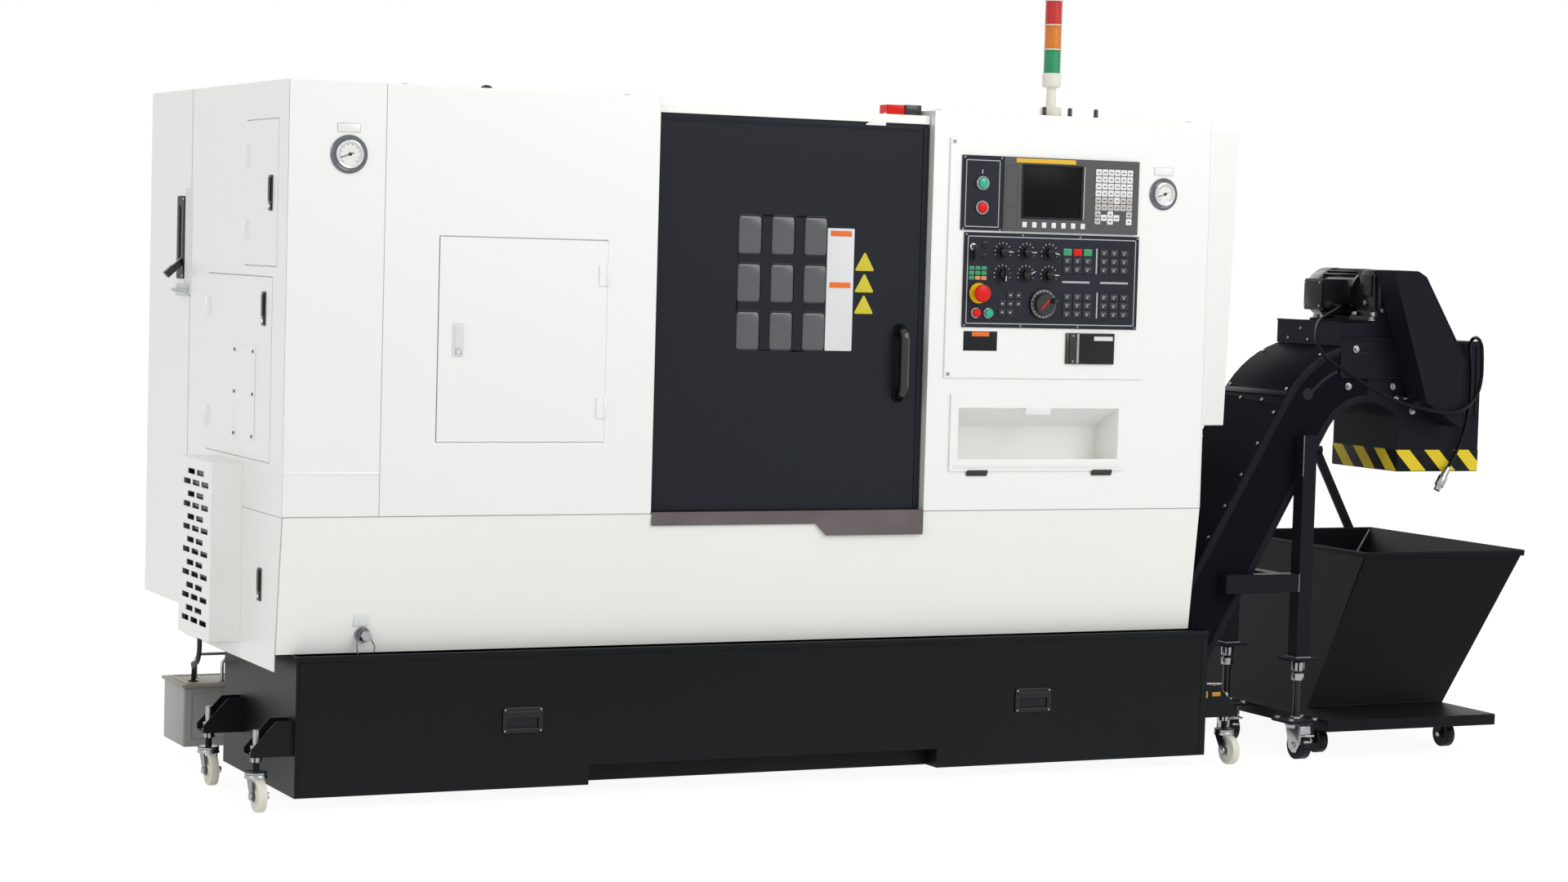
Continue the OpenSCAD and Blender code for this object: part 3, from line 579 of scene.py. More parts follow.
def wire(name: str, points: Sequence[Any], radius: float, resolution: int) -> bpy.types.Curve:
    """Makes a round wire.

    Args:
        name: Name of the curve.
        points: Places that the wire passes.
        radius: Its radius.
        resolution: Steps in a quarter of its round.

    Returns:
        The curve.
    """
    data = bpy.data.curves.new(name, "CURVE")
    data.dimensions = "3D"
    data.bevel_depth = radius
    data.bevel_resolution = resolution
    data.use_fill_caps = True
    line = data.splines.new("POLY")
    line.points.add(len(points) - 1)
    for spot, place in zip(line.points, points):
        spot.co = (*place, 1.0)
    return data


class Piece:
    """One visible piece, modelled part by part in millimetres of the machine."""

    def __init__(self, name: str, body: str, *finishes: Finish) -> None:
        """Starts an empty piece.

        Args:
            name: Name of the object.
            body: The CAD body that it moves with.
            finishes: Finishes that its parts refer to by number.
        """
        self.name, self.body = name, body
        self.mesh = bpy.data.meshes.new(name)
        for finish in finishes:
            self.mesh.materials.append(finish.material())
        self.whole = bmesh.new()

    def _soften(self, part: bmesh.types.BMesh, edge: float, segments: int = 2) -> None:
        """Rounds the sharp edges of a part.

        Args:
            part: The part.
            edge: Width of the rounding.
            segments: Steps across the rounding.
        """
        sharp = [e for e in part.edges if e.is_manifold and e.calc_face_angle(0.0) > SHARP]
        if edge > 0 and sharp:
            bmesh.ops.bevel(
                part, geom=sharp, offset=edge, offset_type="OFFSET", segments=segments, profile=0.5,
                affect="EDGES", clamp_overlap=True, material=-1,
            )

    def _join(self, part: bmesh.types.BMesh, finish: int) -> "Piece":
        """Adds a finished part to the piece.

        Args:
            part: The part, which is freed.
            finish: Number of its finish.

        Returns:
            The piece.
        """
        bmesh.ops.recalc_face_normals(part, faces=part.faces[:])
        for face in part.faces:
            face.material_index = finish
            face.smooth = True
        scratch = bpy.data.meshes.new("scratch")
        part.to_mesh(scratch)
        part.free()
        self.whole.from_mesh(scratch)
        bpy.data.meshes.remove(scratch)
        return self

    def _aim(self, part: bmesh.types.BMesh, way: Way | Vector, foot: Point3) -> None:
        """Turns a part from the upright axis to its own and moves it to its foot."""
        axis = Vector(way.value) if isinstance(way, Way) else way
        turned = Vector((0, 0, 1)).rotation_difference(axis).to_matrix().to_4x4()
        bmesh.ops.transform(part, matrix=Matrix.Translation(foot) @ turned, verts=part.verts[:])

    def box(self, x: Span, y: Span, z: Span, edge: float = 1.0, finish: int = 0, segments: int = 2) -> "Piece":
        """Adds a block with rounded edges.

        Args:
            x: Left and right faces.
            y: Front and back faces.
            z: Bottom and top faces.
            edge: Width of the rounding.
            finish: Number of its finish.
            segments: Steps across the rounding.

        Returns:
            The piece.
        """
        part = bmesh.new()
        bmesh.ops.create_cube(part, size=1.0)
        bmesh.ops.scale(part, vec=[b - a for a, b in (x, y, z)], verts=part.verts[:])
        bmesh.ops.translate(part, vec=[(a + b) / 2 for a, b in (x, y, z)], verts=part.verts[:])
        self._soften(part, edge, segments)
        return self._join(part, finish)

    def plate(
        self, plane: Plane, outline: Sequence[Point2], depth: Span, corner: float = 0.0, edge: float = 0.5,
        finish: int = 0, frame_w: float = 0.0,
    ) -> "Piece":
        """Adds a flat plate, or a frame of it, cut to an outline.

        Args:
            plane: Plane of the outline.
            outline: Its corners in order.
            depth: Lower and upper place across the plane.
            corner: Radius of the outline's corners.
            edge: Width of the edge rounding.
            finish: Number of its finish.
            frame_w: Width of the frame; 0 leaves a full plate.

        Returns:
            The piece.
        """
        part = bmesh.new()
        rims = [rounded(outline, corner)]
        if frame_w > 0:
            least = 0.3  # radius of the inner corners
            rims.append(rounded(shrunk(outline, frame_w), max(corner - frame_w, least) if corner else 0.0))
        loops = [[part.verts.new(plane.spot(u, v, depth[0])) for u, v in rim] for rim in rims]
        if frame_w > 0:
            edges = [part.edges.new(pair) for loop in loops for pair in zip(loop, loop[1:] + loop[:1])]
            bmesh.ops.bridge_loops(part, edges=edges)
        else:
            part.faces.new(loops[0])
        raised = bmesh.ops.extrude_face_region(part, geom=part.faces[:])["geom"]
        verts = [g for g in raised if isinstance(g, bmesh.types.BMVert)]
        bmesh.ops.translate(part, vec=plane.spot(0, 0, depth[1] - depth[0]), verts=verts)
        bmesh.ops.recalc_face_normals(part, faces=part.faces[:])
        self._soften(part, edge)
        return self._join(part, finish)

    def slab(self, plane: Plane, u: Span, v: Span, depth: Span, *rest: float) -> "Piece":
        """Adds a rectangular plate; rest is what plate() takes after the depth."""
        return self.plate(plane, [(u[0], v[0]), (u[1], v[0]), (u[1], v[1]), (u[0], v[1])], depth, *rest)

    def slabs(self, plane: Plane, *rows: Sequence[Any]) -> "Piece":
        """Adds rectangular plates in one plane; each row is what slab() takes after the plane."""
        for row in rows:
            self.slab(plane, *row)
        return self

    def turn(
        self, way: Way | Vector, foot: Point3, profile: Sequence[Point2], sides: int = 32, finish: int = 0,
        edge: float = 0.0,
    ) -> "Piece":
        """Adds a turned part.

        Args:
            way: Direction of its axis.
            foot: Place of the axis at distance 0.
            profile: Distance along the axis and radius of each point.
            sides: Steps round the axis.
            finish: Number of its finish.
            edge: Width of the edge rounding.

        Returns:
            The piece.
        """
        part = bmesh.new()
        line = [part.verts.new((radius, 0.0, along)) for along, radius in profile]
        edges = [part.edges.new(pair) for pair in zip(line, line[1:])]
        bmesh.ops.spin(
            part, geom=line + edges, cent=(0, 0, 0), axis=(0, 0, 1), dvec=(0, 0, 0), angle=2 * math.pi, steps=sides,
            use_merge=True, use_normal_flip=False, use_duplicate=False,
        )
        bmesh.ops.remove_doubles(part, verts=part.verts[:], dist=MERGE_MM)
        bmesh.ops.recalc_face_normals(part, faces=part.faces[:])
        self._soften(part, edge)
        self._aim(part, way, foot)
        return self._join(part, finish)

    def turns(self, way: Way, *rows: Sequence[Any]) -> "Piece":
        """Adds turned parts that point one way; each row is what turn() takes after the way."""
        for row in rows:
            self.turn(way, *row)
        return self

    def rod(
        self, way: Way, foot: Point3, length: float, radius: float, edge: float = 0.6, finish: int = 0, sides: int = 24
    ) -> "Piece":
        """Adds a round or many-sided bar; with six sides it is a nut.

        Args:
            way: Direction of its axis.
            foot: Middle of its first end.
            length: Its length.
            radius: Its radius.
            edge: Width of the rounding at its ends.
            finish: Number of its finish.
            sides: Steps round the axis.

        Returns:
            The piece.
        """
        part = bmesh.new()
        bmesh.ops.create_cone(
            part, cap_ends=True, cap_tris=False, segments=sides, radius1=radius, radius2=radius, depth=length
        )
        bmesh.ops.translate(part, vec=(0, 0, length / 2), verts=part.verts[:])
        self._soften(part, edge)
        self._aim(part, way, foot)
        return self._join(part, finish)

    def screws(self, way: Way | Vector, feet: Iterable[Point3], radius: float, finish: int) -> "Piece":
        """Adds round screw heads with sockets.

        Args:
            way: Where they point.
            feet: Middle of each head's underside.
            radius: Radius of a head.
            finish: Number of their finish.

        Returns:
            The piece.
        """
        tall = radius * 0.7
        profile = [
            (0.0, radius), (tall * 0.6, radius), (tall, radius * 0.75), (tall, radius * 0.4),
            (tall * 0.4, radius * 0.36), (tall * 0.4, 0.0),
        ]
        return self.turns(way, *((foot, profile, 12, finish) for foot in feet))

    def bent(self, points: Sequence[Point3], radius: float, finish: int = 0, closed: bool = False) -> "Piece":
        """Adds a bent round rod.

        Args:
            points: Places that the rod passes.
            radius: Its radius.
            finish: Number of its finish.
            closed: Whether its ends meet.

        Returns:
            The piece.
        """
        data = wire("scratch", points, radius, 3)
        data.splines[0].use_cyclic_u = closed
        holder = bpy.data.objects.new("scratch", data)
        part = bmesh.new()
        scratch = bpy.data.meshes.new_from_object(holder)
        part.from_mesh(scratch)
        bmesh.ops.remove_doubles(part, verts=part.verts[:], dist=MERGE_MM)
        bpy.data.meshes.remove(scratch)
        bpy.data.objects.remove(holder)
        bpy.data.curves.remove(data)
        return self._join(part, finish)

    def done(self, *replaced: str) -> bpy.types.Object:
        """Puts the piece in the frame and lets it ride on its body.

        Args:
            replaced: CAD nodes that it stands for.

        Returns:
            The object.
        """
        bmesh.ops.translate(self.whole, vec=-ORIGIN_MM, verts=self.whole.verts[:])
        bmesh.ops.scale(self.whole, vec=(MM, MM, MM), verts=self.whole.verts[:])
        for line in self.whole.edges:
            line.smooth = not line.is_manifold or line.calc_face_angle(0.0) < SMOOTH
        self.whole.to_mesh(self.mesh)
        self.whole.free()
        made = placed(self.name, self.mesh)
        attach(made, self.body)
        if replaced:
            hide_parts(*replaced)
        LOG.info("%s: %d faces on %s", self.name, len(self.mesh.polygons), self.body)
        return made


class Assembly:
    """Things that belong together, built step by step."""

    steps: ClassVar[tuple[str, ...]] = ()

    def build(self) -> None:
        """Runs the steps in order."""
        for step in self.steps:
            getattr(self, step)()


@dataclass
class Studio(Assembly):
    """Floor, light and camera."""

    steps = ("camera", "world", "floor", "lamps")
    camera_at: Point3 = (-2287.95, -7423.5, 1349.25)
    yaw: float = 25.74
    pitch: float = 3.35
    roll: float = -1.6
    focal_px: float = 4062.0
    photo_px: float = 1920.0
    sensor_mm: float = 36.0
    sight: float = 200.0
    world_light: float = 0.64
    floor_half: float = 60.0
    floor_grey: float = 0.9
    floor_rough: float = 0.8
    floor_glow: float = 1.09
    glow_share: float = 0.86

    def camera(self) -> None:
        """Sets the camera at the photograph's viewing angle."""
        yaw, pitch, roll = (math.radians(a) for a in (self.yaw, self.pitch, self.roll))
        ahead = Vector((math.sin(yaw) * math.cos(pitch), math.cos(yaw) * math.cos(pitch), -math.sin(pitch)))
        right = Vector((math.cos(yaw), -math.sin(yaw), 0.0))
        down = ahead.cross(right)
        across = math.cos(roll) * right + math.sin(roll) * down
        below = -math.sin(roll) * right + math.cos(roll) * down
        data = bpy.data.cameras.new("camera")
        data.sensor_width = self.sensor_mm
        data.lens = self.focal_px / self.photo_px * self.sensor_mm
        data.clip_end = self.sight
        made = placed("camera", data)
        turned = Matrix((across, -below, -ahead)).transposed().to_4x4()
        made.matrix_world = Matrix.Translation(at(*self.camera_at)) @ turned
        bpy.context.scene.camera = made

    def background(self, net: Net) -> Socket:
        """Tells rays that should see the plain background from rays that light the object.

        Args:
            net: Nodes of the material or world.

        Returns:
            A socket that is 1 for camera, glossy and transmission rays.
        """
        path = net.add("LightPath", {})
        either = net.maths("MAXIMUM", path["Is Camera Ray"], path["Is Glossy Ray"])
        return net.maths("MAXIMUM", either, path["Is Transmission Ray"])

    def world(self) -> None:
        """White background with a softer light from it."""
        world = bpy.data.worlds.new("studio")
        world.use_nodes = True
        bpy.context.scene.world = world
        net, nodes = Net(world.node_tree), world.node_tree.nodes
        white = (1, 1, 1, 1)
        net.feed(nodes["Background"], {"Color": white, "Strength": 1.0})
        lit = net.add("Background", {"Color": white, "Strength": self.world_light})[0]
        mix = net.add("MixShader", {0: self.background(net), 1: lit, 2: nodes["Background"].outputs[0]})
        net.feed(nodes["World Output"], {0: mix[0]})

    def floor(self) -> None:
        """Plain pale floor that keeps the shadow."""
        sheet = bmesh.new()
        bmesh.ops.create_grid(sheet, x_segments=2, y_segments=2, size=self.floor_half)
        mesh = bpy.data.meshes.new("floor")
        sheet.to_mesh(mesh)
        sheet.free()
        made = placed("floor", mesh)
        pale = bpy.data.materials.new("floor_pale")
        pale.use_nodes = True
        net, nodes = Net(pale.node_tree), pale.node_tree.nodes
        shader, grey = nodes["Principled BSDF"], self.floor_grey
        net.feed(shader, {"Base Color": (grey, grey, grey, 1), "Roughness": self.floor_rough})
        glow = net.add("Emission", {"Strength": self.floor_glow})[0]
        share = net.maths("MULTIPLY", self.background(net), self.glow_share)
        mix = net.add("MixShader", {0: share, 1: shader.outputs[0], 2: glow})
        net.feed(nodes["Material Output"], {0: mix[0]})
        mesh.materials.append(pale)

    def lamps(self) -> None:
        """Three soft boxes, and colours as they are."""
        bpy.context.scene.view_settings.view_transform = "Standard"
        for name, place, aim, size, watts in (
            ("key", (2.6, -6.2, 4.6), (0.2, 0.0, 0.3), 4.0, 150.0),
            ("fill", (-6.5, -3.0, 3.4), (-1.5, 0.0, 0.9), 3.5, 46.0),
            ("back", (1.5, 5.8, 4.0), (0.0, 0.0, 0.9), 4.0, 85.0),
        ):
            data = bpy.data.lights.new(name, "AREA")
            data.shape = "SQUARE"
            data.size = size
            data.energy = watts
            made = placed(name, data)
            made.location = place
            made.rotation_euler = (Vector(aim) - Vector(place)).to_track_quat("-Z", "Y").to_euler()


@dataclass
class Cords(Assembly):
    """The motor cord with its plug and the cooler's drain hose."""

    steps = ("motor_cord", "drain_hose")
    cord_route: tuple[Point3, ...] = (
        (3050, 190, 1230), (3050, 170, 1230), (3044, 145, 1229), (3028, 120, 1225), (3004, 101, 1219), (2974, 84, 1210),
        (2938, 63, 1200), (2908, 42, 1187), (2886, 20, 1170), (2872, 0, 1150), (2866, -16, 1131), (2868, -29, 1112),
        (2878, -37, 1095), (2894, -41, 1082), (2920, -42, 1068), (2968, -42, 1042), (3018, -42, 1016), (3068, -42, 994),
        (3120, -42, 976), (3178, -42, 962), (3233, -42, 953), (3278, -42, 948), (3314, -42, 950), (3344, -42, 962),
        (3369, -43, 984), (3385, -44, 1012), (3391, -45, 1048), (3391, -45, 1082), (3390, -45, 1106), (3392, -39, 1129),
        (3396, -22, 1146), (3401, 1, 1152), (3407, 24, 1146), (3413, 41, 1129), (3418, 47, 1106), (3423, 47, 1073),
        (3425, 46, 1030), (3422, 45, 970), (3410, 44, 905), (3390, 43, 850), (3356, 43, 790),
    )
    hose_route: tuple[Point3, ...] = (
        (-30, 560, 362), (-30, 560, 338), (-29, 564, 314), (-28, 574, 294), (-26, 591, 280), (-24, 613, 272),
        (-21, 640, 268), (-8, 692, 261), (10, 756, 250), (34, 840, 236), (52, 904, 225), (64, 946, 220),
        (73, 980, 217), (81, 1006, 213), (88, 1027, 204), (92, 1043, 189), (94, 1052, 171), (95, 1056, 150),
    )

    def smooth(self, route: Sequence[Point3], steps: int) -> list[Vector]:
        """Smooth line through the route's points.

        Args:
            route: The points in millimetres.
            steps: Steps between two points.

        Returns:
            The line's points in the frame.
        """
        spots = [at(*p) for p in route]
        line: list[Vector] = []
        for i in range(len(spots) - 1):
            a, b = spots[max(i - 1, 0)], spots[i]
            c, d = spots[i + 1], spots[min(i + 2, len(spots) - 1)]
            for k in range(steps):
                t = k / steps
                line.append(
                    0.5 * (2 * b + (c - a) * t + (2 * a - 5 * b + 4 * c - d) * t**2 + (3 * b - a - 3 * c + d) * t**3)
                )
        return [*line, spots[-1]]

    def lay(self, name: str, route: Sequence[Point3], radius: float, finish: Finish) -> tuple[bpy.types.Object, float]:
        """Makes a round cord along a route.

        Args:
            name: Name of the cord and of its CAD node.
            route: The points in millimetres.
            radius: Its radius in metres.
            finish: Its finish.

        Returns:
            The cord and its length in metres.
        """
        line = self.smooth(route, 4)
        data = wire(name, line, radius, 4)
        data.splines[0].use_smooth = True
        data.materials.append(finish.material())
        made = placed(name + "_sheath", data)
        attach(made, "machine")
        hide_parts(name)
        length = sum((b - a).length for a, b in zip(line, line[1:]))
        LOG.info("%s: %.2f m", name, length)
        return made, length

    def motor_cord(self) -> None:
        """Cord of the conveyor's motor, with its hanging plug."""
        cord, length = self.lay("motor_cord", self.cord_route, 0.005, CORD)

    def drain_hose(self) -> None:
        """Hose from the cooler to the oil box."""
        hose, length = self.lay("drain_hose", self.hose_route, 0.006, RUBBER)


@dataclass
class Dressing(Assembly):
    """Finishes and edge roundings of the CAD nodes that stay in view."""

    steps = ("dress",)
    weld_m: float = 0.00002
    bend_degrees: float = 35.0
    table: tuple[tuple[Finish, float, str], ...] = (
        (CAST, 6.0, "bed_casting"), (CAST, 5.0, "headstock_casting"), (CAST, 4.0, "turret_slide tailstock"),
        (CAST, 3.0, "saddle"), (ZINC, 1.5, "leveling_feet"), (ZINC, 1.0, "cord_plug"),
        (STEEL, 1.0, "bed_rails quill"), (STEEL, 1.5, "spindle chuck"), (STEEL, 2.0, "turret_disc"),
        (WHITE, 2.2, "left_end_cover headstock_cover console_cover right_end_cover electrical_cabinet"),
        (WHITE, 2.0, "cooler_box"), (WHITE, 1.6, "console_plate"), (WHITE, 1.5, "rear_cover door_track"),
        # the apron takes the brighter copy of the white paint: painted light on the lower front
        (WHITE, 1.4, "access_door side_door_upper side_door_lower bin_flap"), (WHITE_APRON_PAINTED_LIGHT, 1.4, "apron"),
        (WHITE_SIDE, 0.6, "headstock_guard"), (WHITE_SIDE, 0.8, "bin_pocket"), (RED, 2.0, "interlock_switch"),
        (SILL, 0.8, "door_sill"), (TANK_BLACK, 1.6, "coolant_tank"), (GREY_CASE, 1.0, "display_unit"),
        # the trough takes the darker copy of the conveyor paint: painted shade
        (PANEL, 0.8, "operator_panel"), (TROUGH_SHADED, 1.4, "conveyor_trough"), (NAVY, 1.4, "conveyor_head"),
        (NAVY, 4.0, "chain_guard"), (NAVY, 1.2, "discharge_chute"), (NAVY, 2.0, "conveyor_frame"),
        (MOTOR, 3.0, "conveyor_motor"), (CART_BLACK, 1.6, "chip_cart"), (CHARCOAL, 2.0, "main_door"),
        (PANE, 0.6, "door_windows"), (BLACK, 1.2, "data_cover"), (BLACK, 2.5, "disconnect_lever"),
        (DARK_CHROME, 0.8, "front_caster_fork rear_caster_fork right_caster_fork"),
    )

    def dress(self) -> None:
        """Gives every CAD node of the table its finish and rounded edges."""
        for finish, edge, names in self.table:
            for name in names.split():
                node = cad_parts[name]
                node.data.materials.clear()
                node.data.materials.append(finish.material())
                node.modifiers.new("weld", "WELD").merge_threshold = self.weld_m
                round_off = node.modifiers.new("edges", "BEVEL")
                round_off.width = edge / 1000.0
                round_off.segments = 2
                round_off.limit_method = "ANGLE"
                round_off.angle_limit = math.radians(self.bend_degrees)
                round_off.harden_normals = True


@dataclass
class SlidingDoor(Assembly):
    """Panes, plates and handle of the sliding door."""

    steps = ("panes", "plates", "handle", "edges")
    face: float = 26.0
    pane_mid: Point2 = (1287.0, 1258.0)
    pitch: Point2 = (91.0, 119.0)
    pane: Point2 = (65.0, 96.0)
    grip_x: Span = (1604.0, 1636.0)
    grip_z: Span = (968.0, 1160.0)

    def panes(self) -> None:
        """Nine glass panes in slim seals."""
        glass = Piece("door_panes", "door", PANE, GLOSS_BLACK)
        w, h, y = self.pane[0] / 2, self.pane[1] / 2, self.face
        for i, k in product((-1, 0, 1), repeat=2):
            x, z = self.pane_mid[0] + i * self.pitch[0], self.pane_mid[1] + k * self.pitch[1]
            u, v = (x - w, x + w), (z - h, z + h)
            glass.slab(FRONT, grown(u, -1), grown(v, -1), (y + 1.5, y + 7.0), 10, 2.0)
            glass.slab(FRONT, grown(u, 2), grown(v, 2), (y - 0.7, y + 0.4), 12, 0.3, 1, 3.0)
        glass.done()

    def plates(self) -> None:
        """Blank plates on the door's face."""
        y = (self.face - 1.0, self.face)
        plate = Piece("door_plates", "door", MARK, ORANGE, PALE_YELLOW)
        plate.slab(FRONT, (1409, 1484), (1092, 1399), y, 3, 0.3)
        for z in (1379, 1250):
            plate.slab(FRONT, (1417, 1476), (z, z + 14), (self.face - 1.6, self.face - 0.9), 1, 0.2, 1)
        for z in (1292, 1238, 1184):
            plate.plate(FRONT, [(1487, z + 2), (1543, z + 2), (1515, z + 51)], y, 4, 0.3, 2)
        plate.done()

    def handle(self) -> None:
        """Round bow on two feet."""
        grip = Piece("door_grip", "door", POLISHED)
        x, bar, turn = sum(self.grip_x) / 2, -2.0, 22.0
        low, high = grown(self.grip_z, -14)
        bow = arc((bar + turn, high - turn), turn, 90, 180, 8) + arc((bar + turn, low + turn), turn, 180, 270, 8)
        grip.bent([(x, self.face, high)] + [(x, y, z) for y, z in bow] + [(x, self.face, low)], 14)
        for z in (low, high):
            grip.turn(Way.FRONT, (x, self.face, z), [(0, 14), (0, 18), (3, 18), (7, 15.5), (12, 14)], 32)
        grip.done("door_handle")

    def edges(self) -> None:
        """Folded edge strips of the door sheet."""
        fold = Piece("door_folds", "door", CHARCOAL)
        fold.slab(FRONT, (1672, 1687), (700, 1660), (self.face - 2.5, self.face), 2, 1.0)
        fold.slab(FRONT, (903, 1670), (1650, 1662), (self.face - 1.5, self.face), 1, 0.6)
        fold.done()


@dataclass
class Display(Assembly):
    """Screen, keys and trim of the control display."""

    steps = ("screen", "keys")
    face: float = -14.0
    screen_x: Span = (1944.0, 2117.0)
    screen_z: Span = (1443.0, 1573.0)
    key_x: Span = (2157.0, 2270.0)
    key_z: Span = (1429.0, 1573.0)

    def screen(self) -> None:
        """Dark glass in a narrow frame, with the row of keys below it."""
        x, z, y = self.screen_x, self.screen_z, self.face
        glass = Piece("display_screen", "machine", SCREEN, GREY_CASE, LINE, AMBER_BAR, KEY_WHITE, PANEL_EDGE)
        glass.slabs(
            FRONT, (x, z, (y + 1.2, y + 2.0), 0, 0.2), (grown(x, 5), grown(z, 5), (y - 1.2, y), 2, 0.5, 5, 5),
            ((x[1] + 6, x[1] + 9), grown(z, 3), (y - 0.8, y), 0, 0.2, 2),
            ((1921, 2097), (1581, 1592), (y - 1.0, y), 1, 0.2, 3),
            ((1894, 1928), (1470, 1572), (y - 0.9, y), 2, 0.4, 1, 1.4),
            ((1894, 1928), (1412, 1466), (y - 0.9, y), 2, 0.4, 1, 1.4),
        )
        for i in range(7):
            mid = 1950 + i * 28.8
            glass.slab(FRONT, (mid - 6.5, mid + 6.5), (1416, 1430), (y - 2.2, y), 1.5, 0.8, 4)
        glass.done()

    def shade(self, row: float, column: float) -> int | None:
        """Finish of a key, or None where there is none.

        Args:
            row: Row from the top.
            column: Column from the left.

        Returns:
            0 for white, 1 for grey, None for a gap.
        """
        if row < 4 or (row, column) in ((4, 3), (6.5, 1), (6.5, 3), (6, 2), (7, 2), (7, 5)):
            return 0
        if row < 6 or (row, column) in ((6, 0), (7, 0), (6, 5)):
            return 1
        return None

    def keys(self) -> None:
        """Key field right of the screen."""
        keys = Piece("display_keys", "machine", KEY_WHITE, KEY_GREY, PANEL_EDGE)
        y = self.face
        dx = (self.key_x[1] - self.key_x[0]) / 6
        dz = (self.key_z[1] - self.key_z[0]) / 8
        for row, column in product((0, 1, 2, 3, 4, 5, 6, 6.5, 7), range(6)):
            tint = self.shade(row, column)
            if tint is None:
                continue
            x = self.key_x[0] + dx * column
            z = self.key_z[1] - dz * (row + 1)
            keys.slab(FRONT, (x + 0.9, x + dx - 0.9), (z + 0.9, z + dz - 0.9), (y - 2.6, y), 1.5, 0.9, tint)
            keys.slab(FRONT, (x + 6, x + dx - 6), (z + 7.5, z + 10), (y - 2.75, y - 2.5), 0, 0, 2)
        keys.done()


@dataclass
class OperatorPanel(Assembly):
    """Knobs, keys, lamps, buttons and handwheel of the operator panel."""

    steps = ("outlines", "knob_set", "keys", "buttons", "handwheel")
    face: float = -10.0
    knob_x: Point3 = (1892.0, 1961.0, 2029.0)
    knob_z: Point2 = (1352.0, 1295.0)
    aims: tuple[float, ...] = (0.0, 0.0, -10.0, -95.0, 30.0, 0.0)
    estop: Point2 = (1824.0, 1245.0)
    wheel: Point2 = (2012.0, 1221.0)
    power_on: Point2 = (1826.0, 1525.0)
    power_off: Point2 = (1826.0, 1463.0)

    def outlines(self) -> None:
        """Silver lines, bars and screws of both panels."""
        y = (self.face - 0.5, self.face)
        lines = Piece("panel_lines", "machine", LINE, ZINC, MARK)
        lines.slabs(
            FRONT, ((1778, 1877), (1413, 1584), y, 3, 0.15, 0, 2.2), ((1789, 2289), (1167, 1391), y, 5, 0.15, 0, 2.4),
            ((2169, 2173), (1301, 1367), y, 1, 0.15), ((2174, 2178), (1186, 1253), y, 1, 0.15),
            ((2070, 2152), (1276, 1281), y, 1, 0.15), ((2184, 2268), (1276, 1281), y, 1, 0.15),
        )
        spots = (
            (1774, 1408), (1774, 1590), (1881, 1408), (1881, 1590), (1785, 1395), (1785, 1163), (1950, 1395),
            (2120, 1395), (1950, 1163), (2120, 1163), (2293, 1395), (2293, 1163),
        )
        lines.screws(Way.FRONT, ((x, self.face, z) for x, z in spots), 2.6, 1)
        lines.slab(FRONT, (1825, 1827), (1549, 1559), y, 0, 0.1, 2)
        lines.done()

    def knob_set(self) -> None:
        """Six pointer knobs inside their scales, the key switch and two flat caps."""
        knob = Piece("selector_knobs", "machine", GLOSS_BLACK, MARK, CHROME)
        y = self.face
        for (z, x), aim in zip(product(self.knob_z, self.knob_x), self.aims):
            spot = (x, z)
            profile = [(0, 17), (2.5, 16.5), (4, 14), (18.6, 13.4), (20, 12), (20, 0)]
            knob.turn(Way.FRONT, (x, y, z), profile, 28)
            knob.plate(FRONT, strip(polar(spot, 17, aim + 180), polar(spot, 19, aim), 9), (-33.5, -22), 2, 1.5)
            knob.plate(FRONT, strip(polar(spot, 5, aim), polar(spot, 18, aim), 2), (-34, -33.2), 0, 0.1, 1)
            for k in range(9):
                tick = -20 + k * 27.5
                knob.plate(FRONT, strip(polar(spot, 21, tick), polar(spot, 25, tick), 1.6), (y - 0.4, y), 0, 0, 1)
        knob.turn(Way.FRONT, (1804, y, 1363), [(0, 10), (5, 9.5), (6.5, 8), (6.5, 0)], 24, 2)
        knob.box((1801, 1807), (-30, -16), (1330, 1368), 1.5)
        for z in (1368, 1337):
            knob.turn(Way.FRONT, (1840, y, z), [(0, 10), (1.4, 9.6), (1.8, 8), (1.8, 0)], 24)
        knob.done()

    def keys(self) -> None:
        """Key blocks, jog keys and the block of lamps."""
        keys = Piece("panel_keys", "machine", KEY_DARK, GREEN, RED, LINE, PEACH, PANEL_EDGE)
        top, print_y = (self.face - 2.6, self.face), (-12.75, -12.5)
        for (x0, z0), row, column in product(((2070, 1302), (2180, 1302), (2073, 1187), (2183, 1187)), *[range(3)] * 2):
            tint = (1, 2, 1)[column] if (x0, z0, row) == (2070, 1302, 0) else 0
            x, z = x0 + 30.4 * column, z0 + 22.3 * (2 - row)
            keys.slab(FRONT, (x, x + 25), (z, z + 18), top, 2, 0.9, tint)
            if tint == 0:
                keys.slab(FRONT, (x + 6, x + 19), (z + 11, z + 12.4), print_y, 0, 0, 3)
                keys.slab(FRONT, (x + 9, x + 14), (z + 5, z + 8.5), print_y, 0, 0, 3)
        for column, row in ((1, 0), (2, 0), (0, 1), (1, 1), (2, 1), (0, 2), (1, 2)):
            x, z = 1884 + 23.5 * column, 1233 - 22 * row
            keys.slab(FRONT, (x, x + 20), (z, z + 17), top, 2, 0.9, 0)
            keys.slab(FRONT, (x + 7, x + 13), (z + 6.5, z + 10.5), print_y, 0, 0, 3)
        for row, column in product(range(3), repeat=2):
            x, z = 1795 + 18 * column, 1304 - 12.5 * row
            tint = 4 if row == 2 and column else 1
            keys.slab(FRONT, (x, x + 15), (z, z + 9.5), (self.face - 1.2, self.face), 1.5, 0.4, tint)
        keys.done()

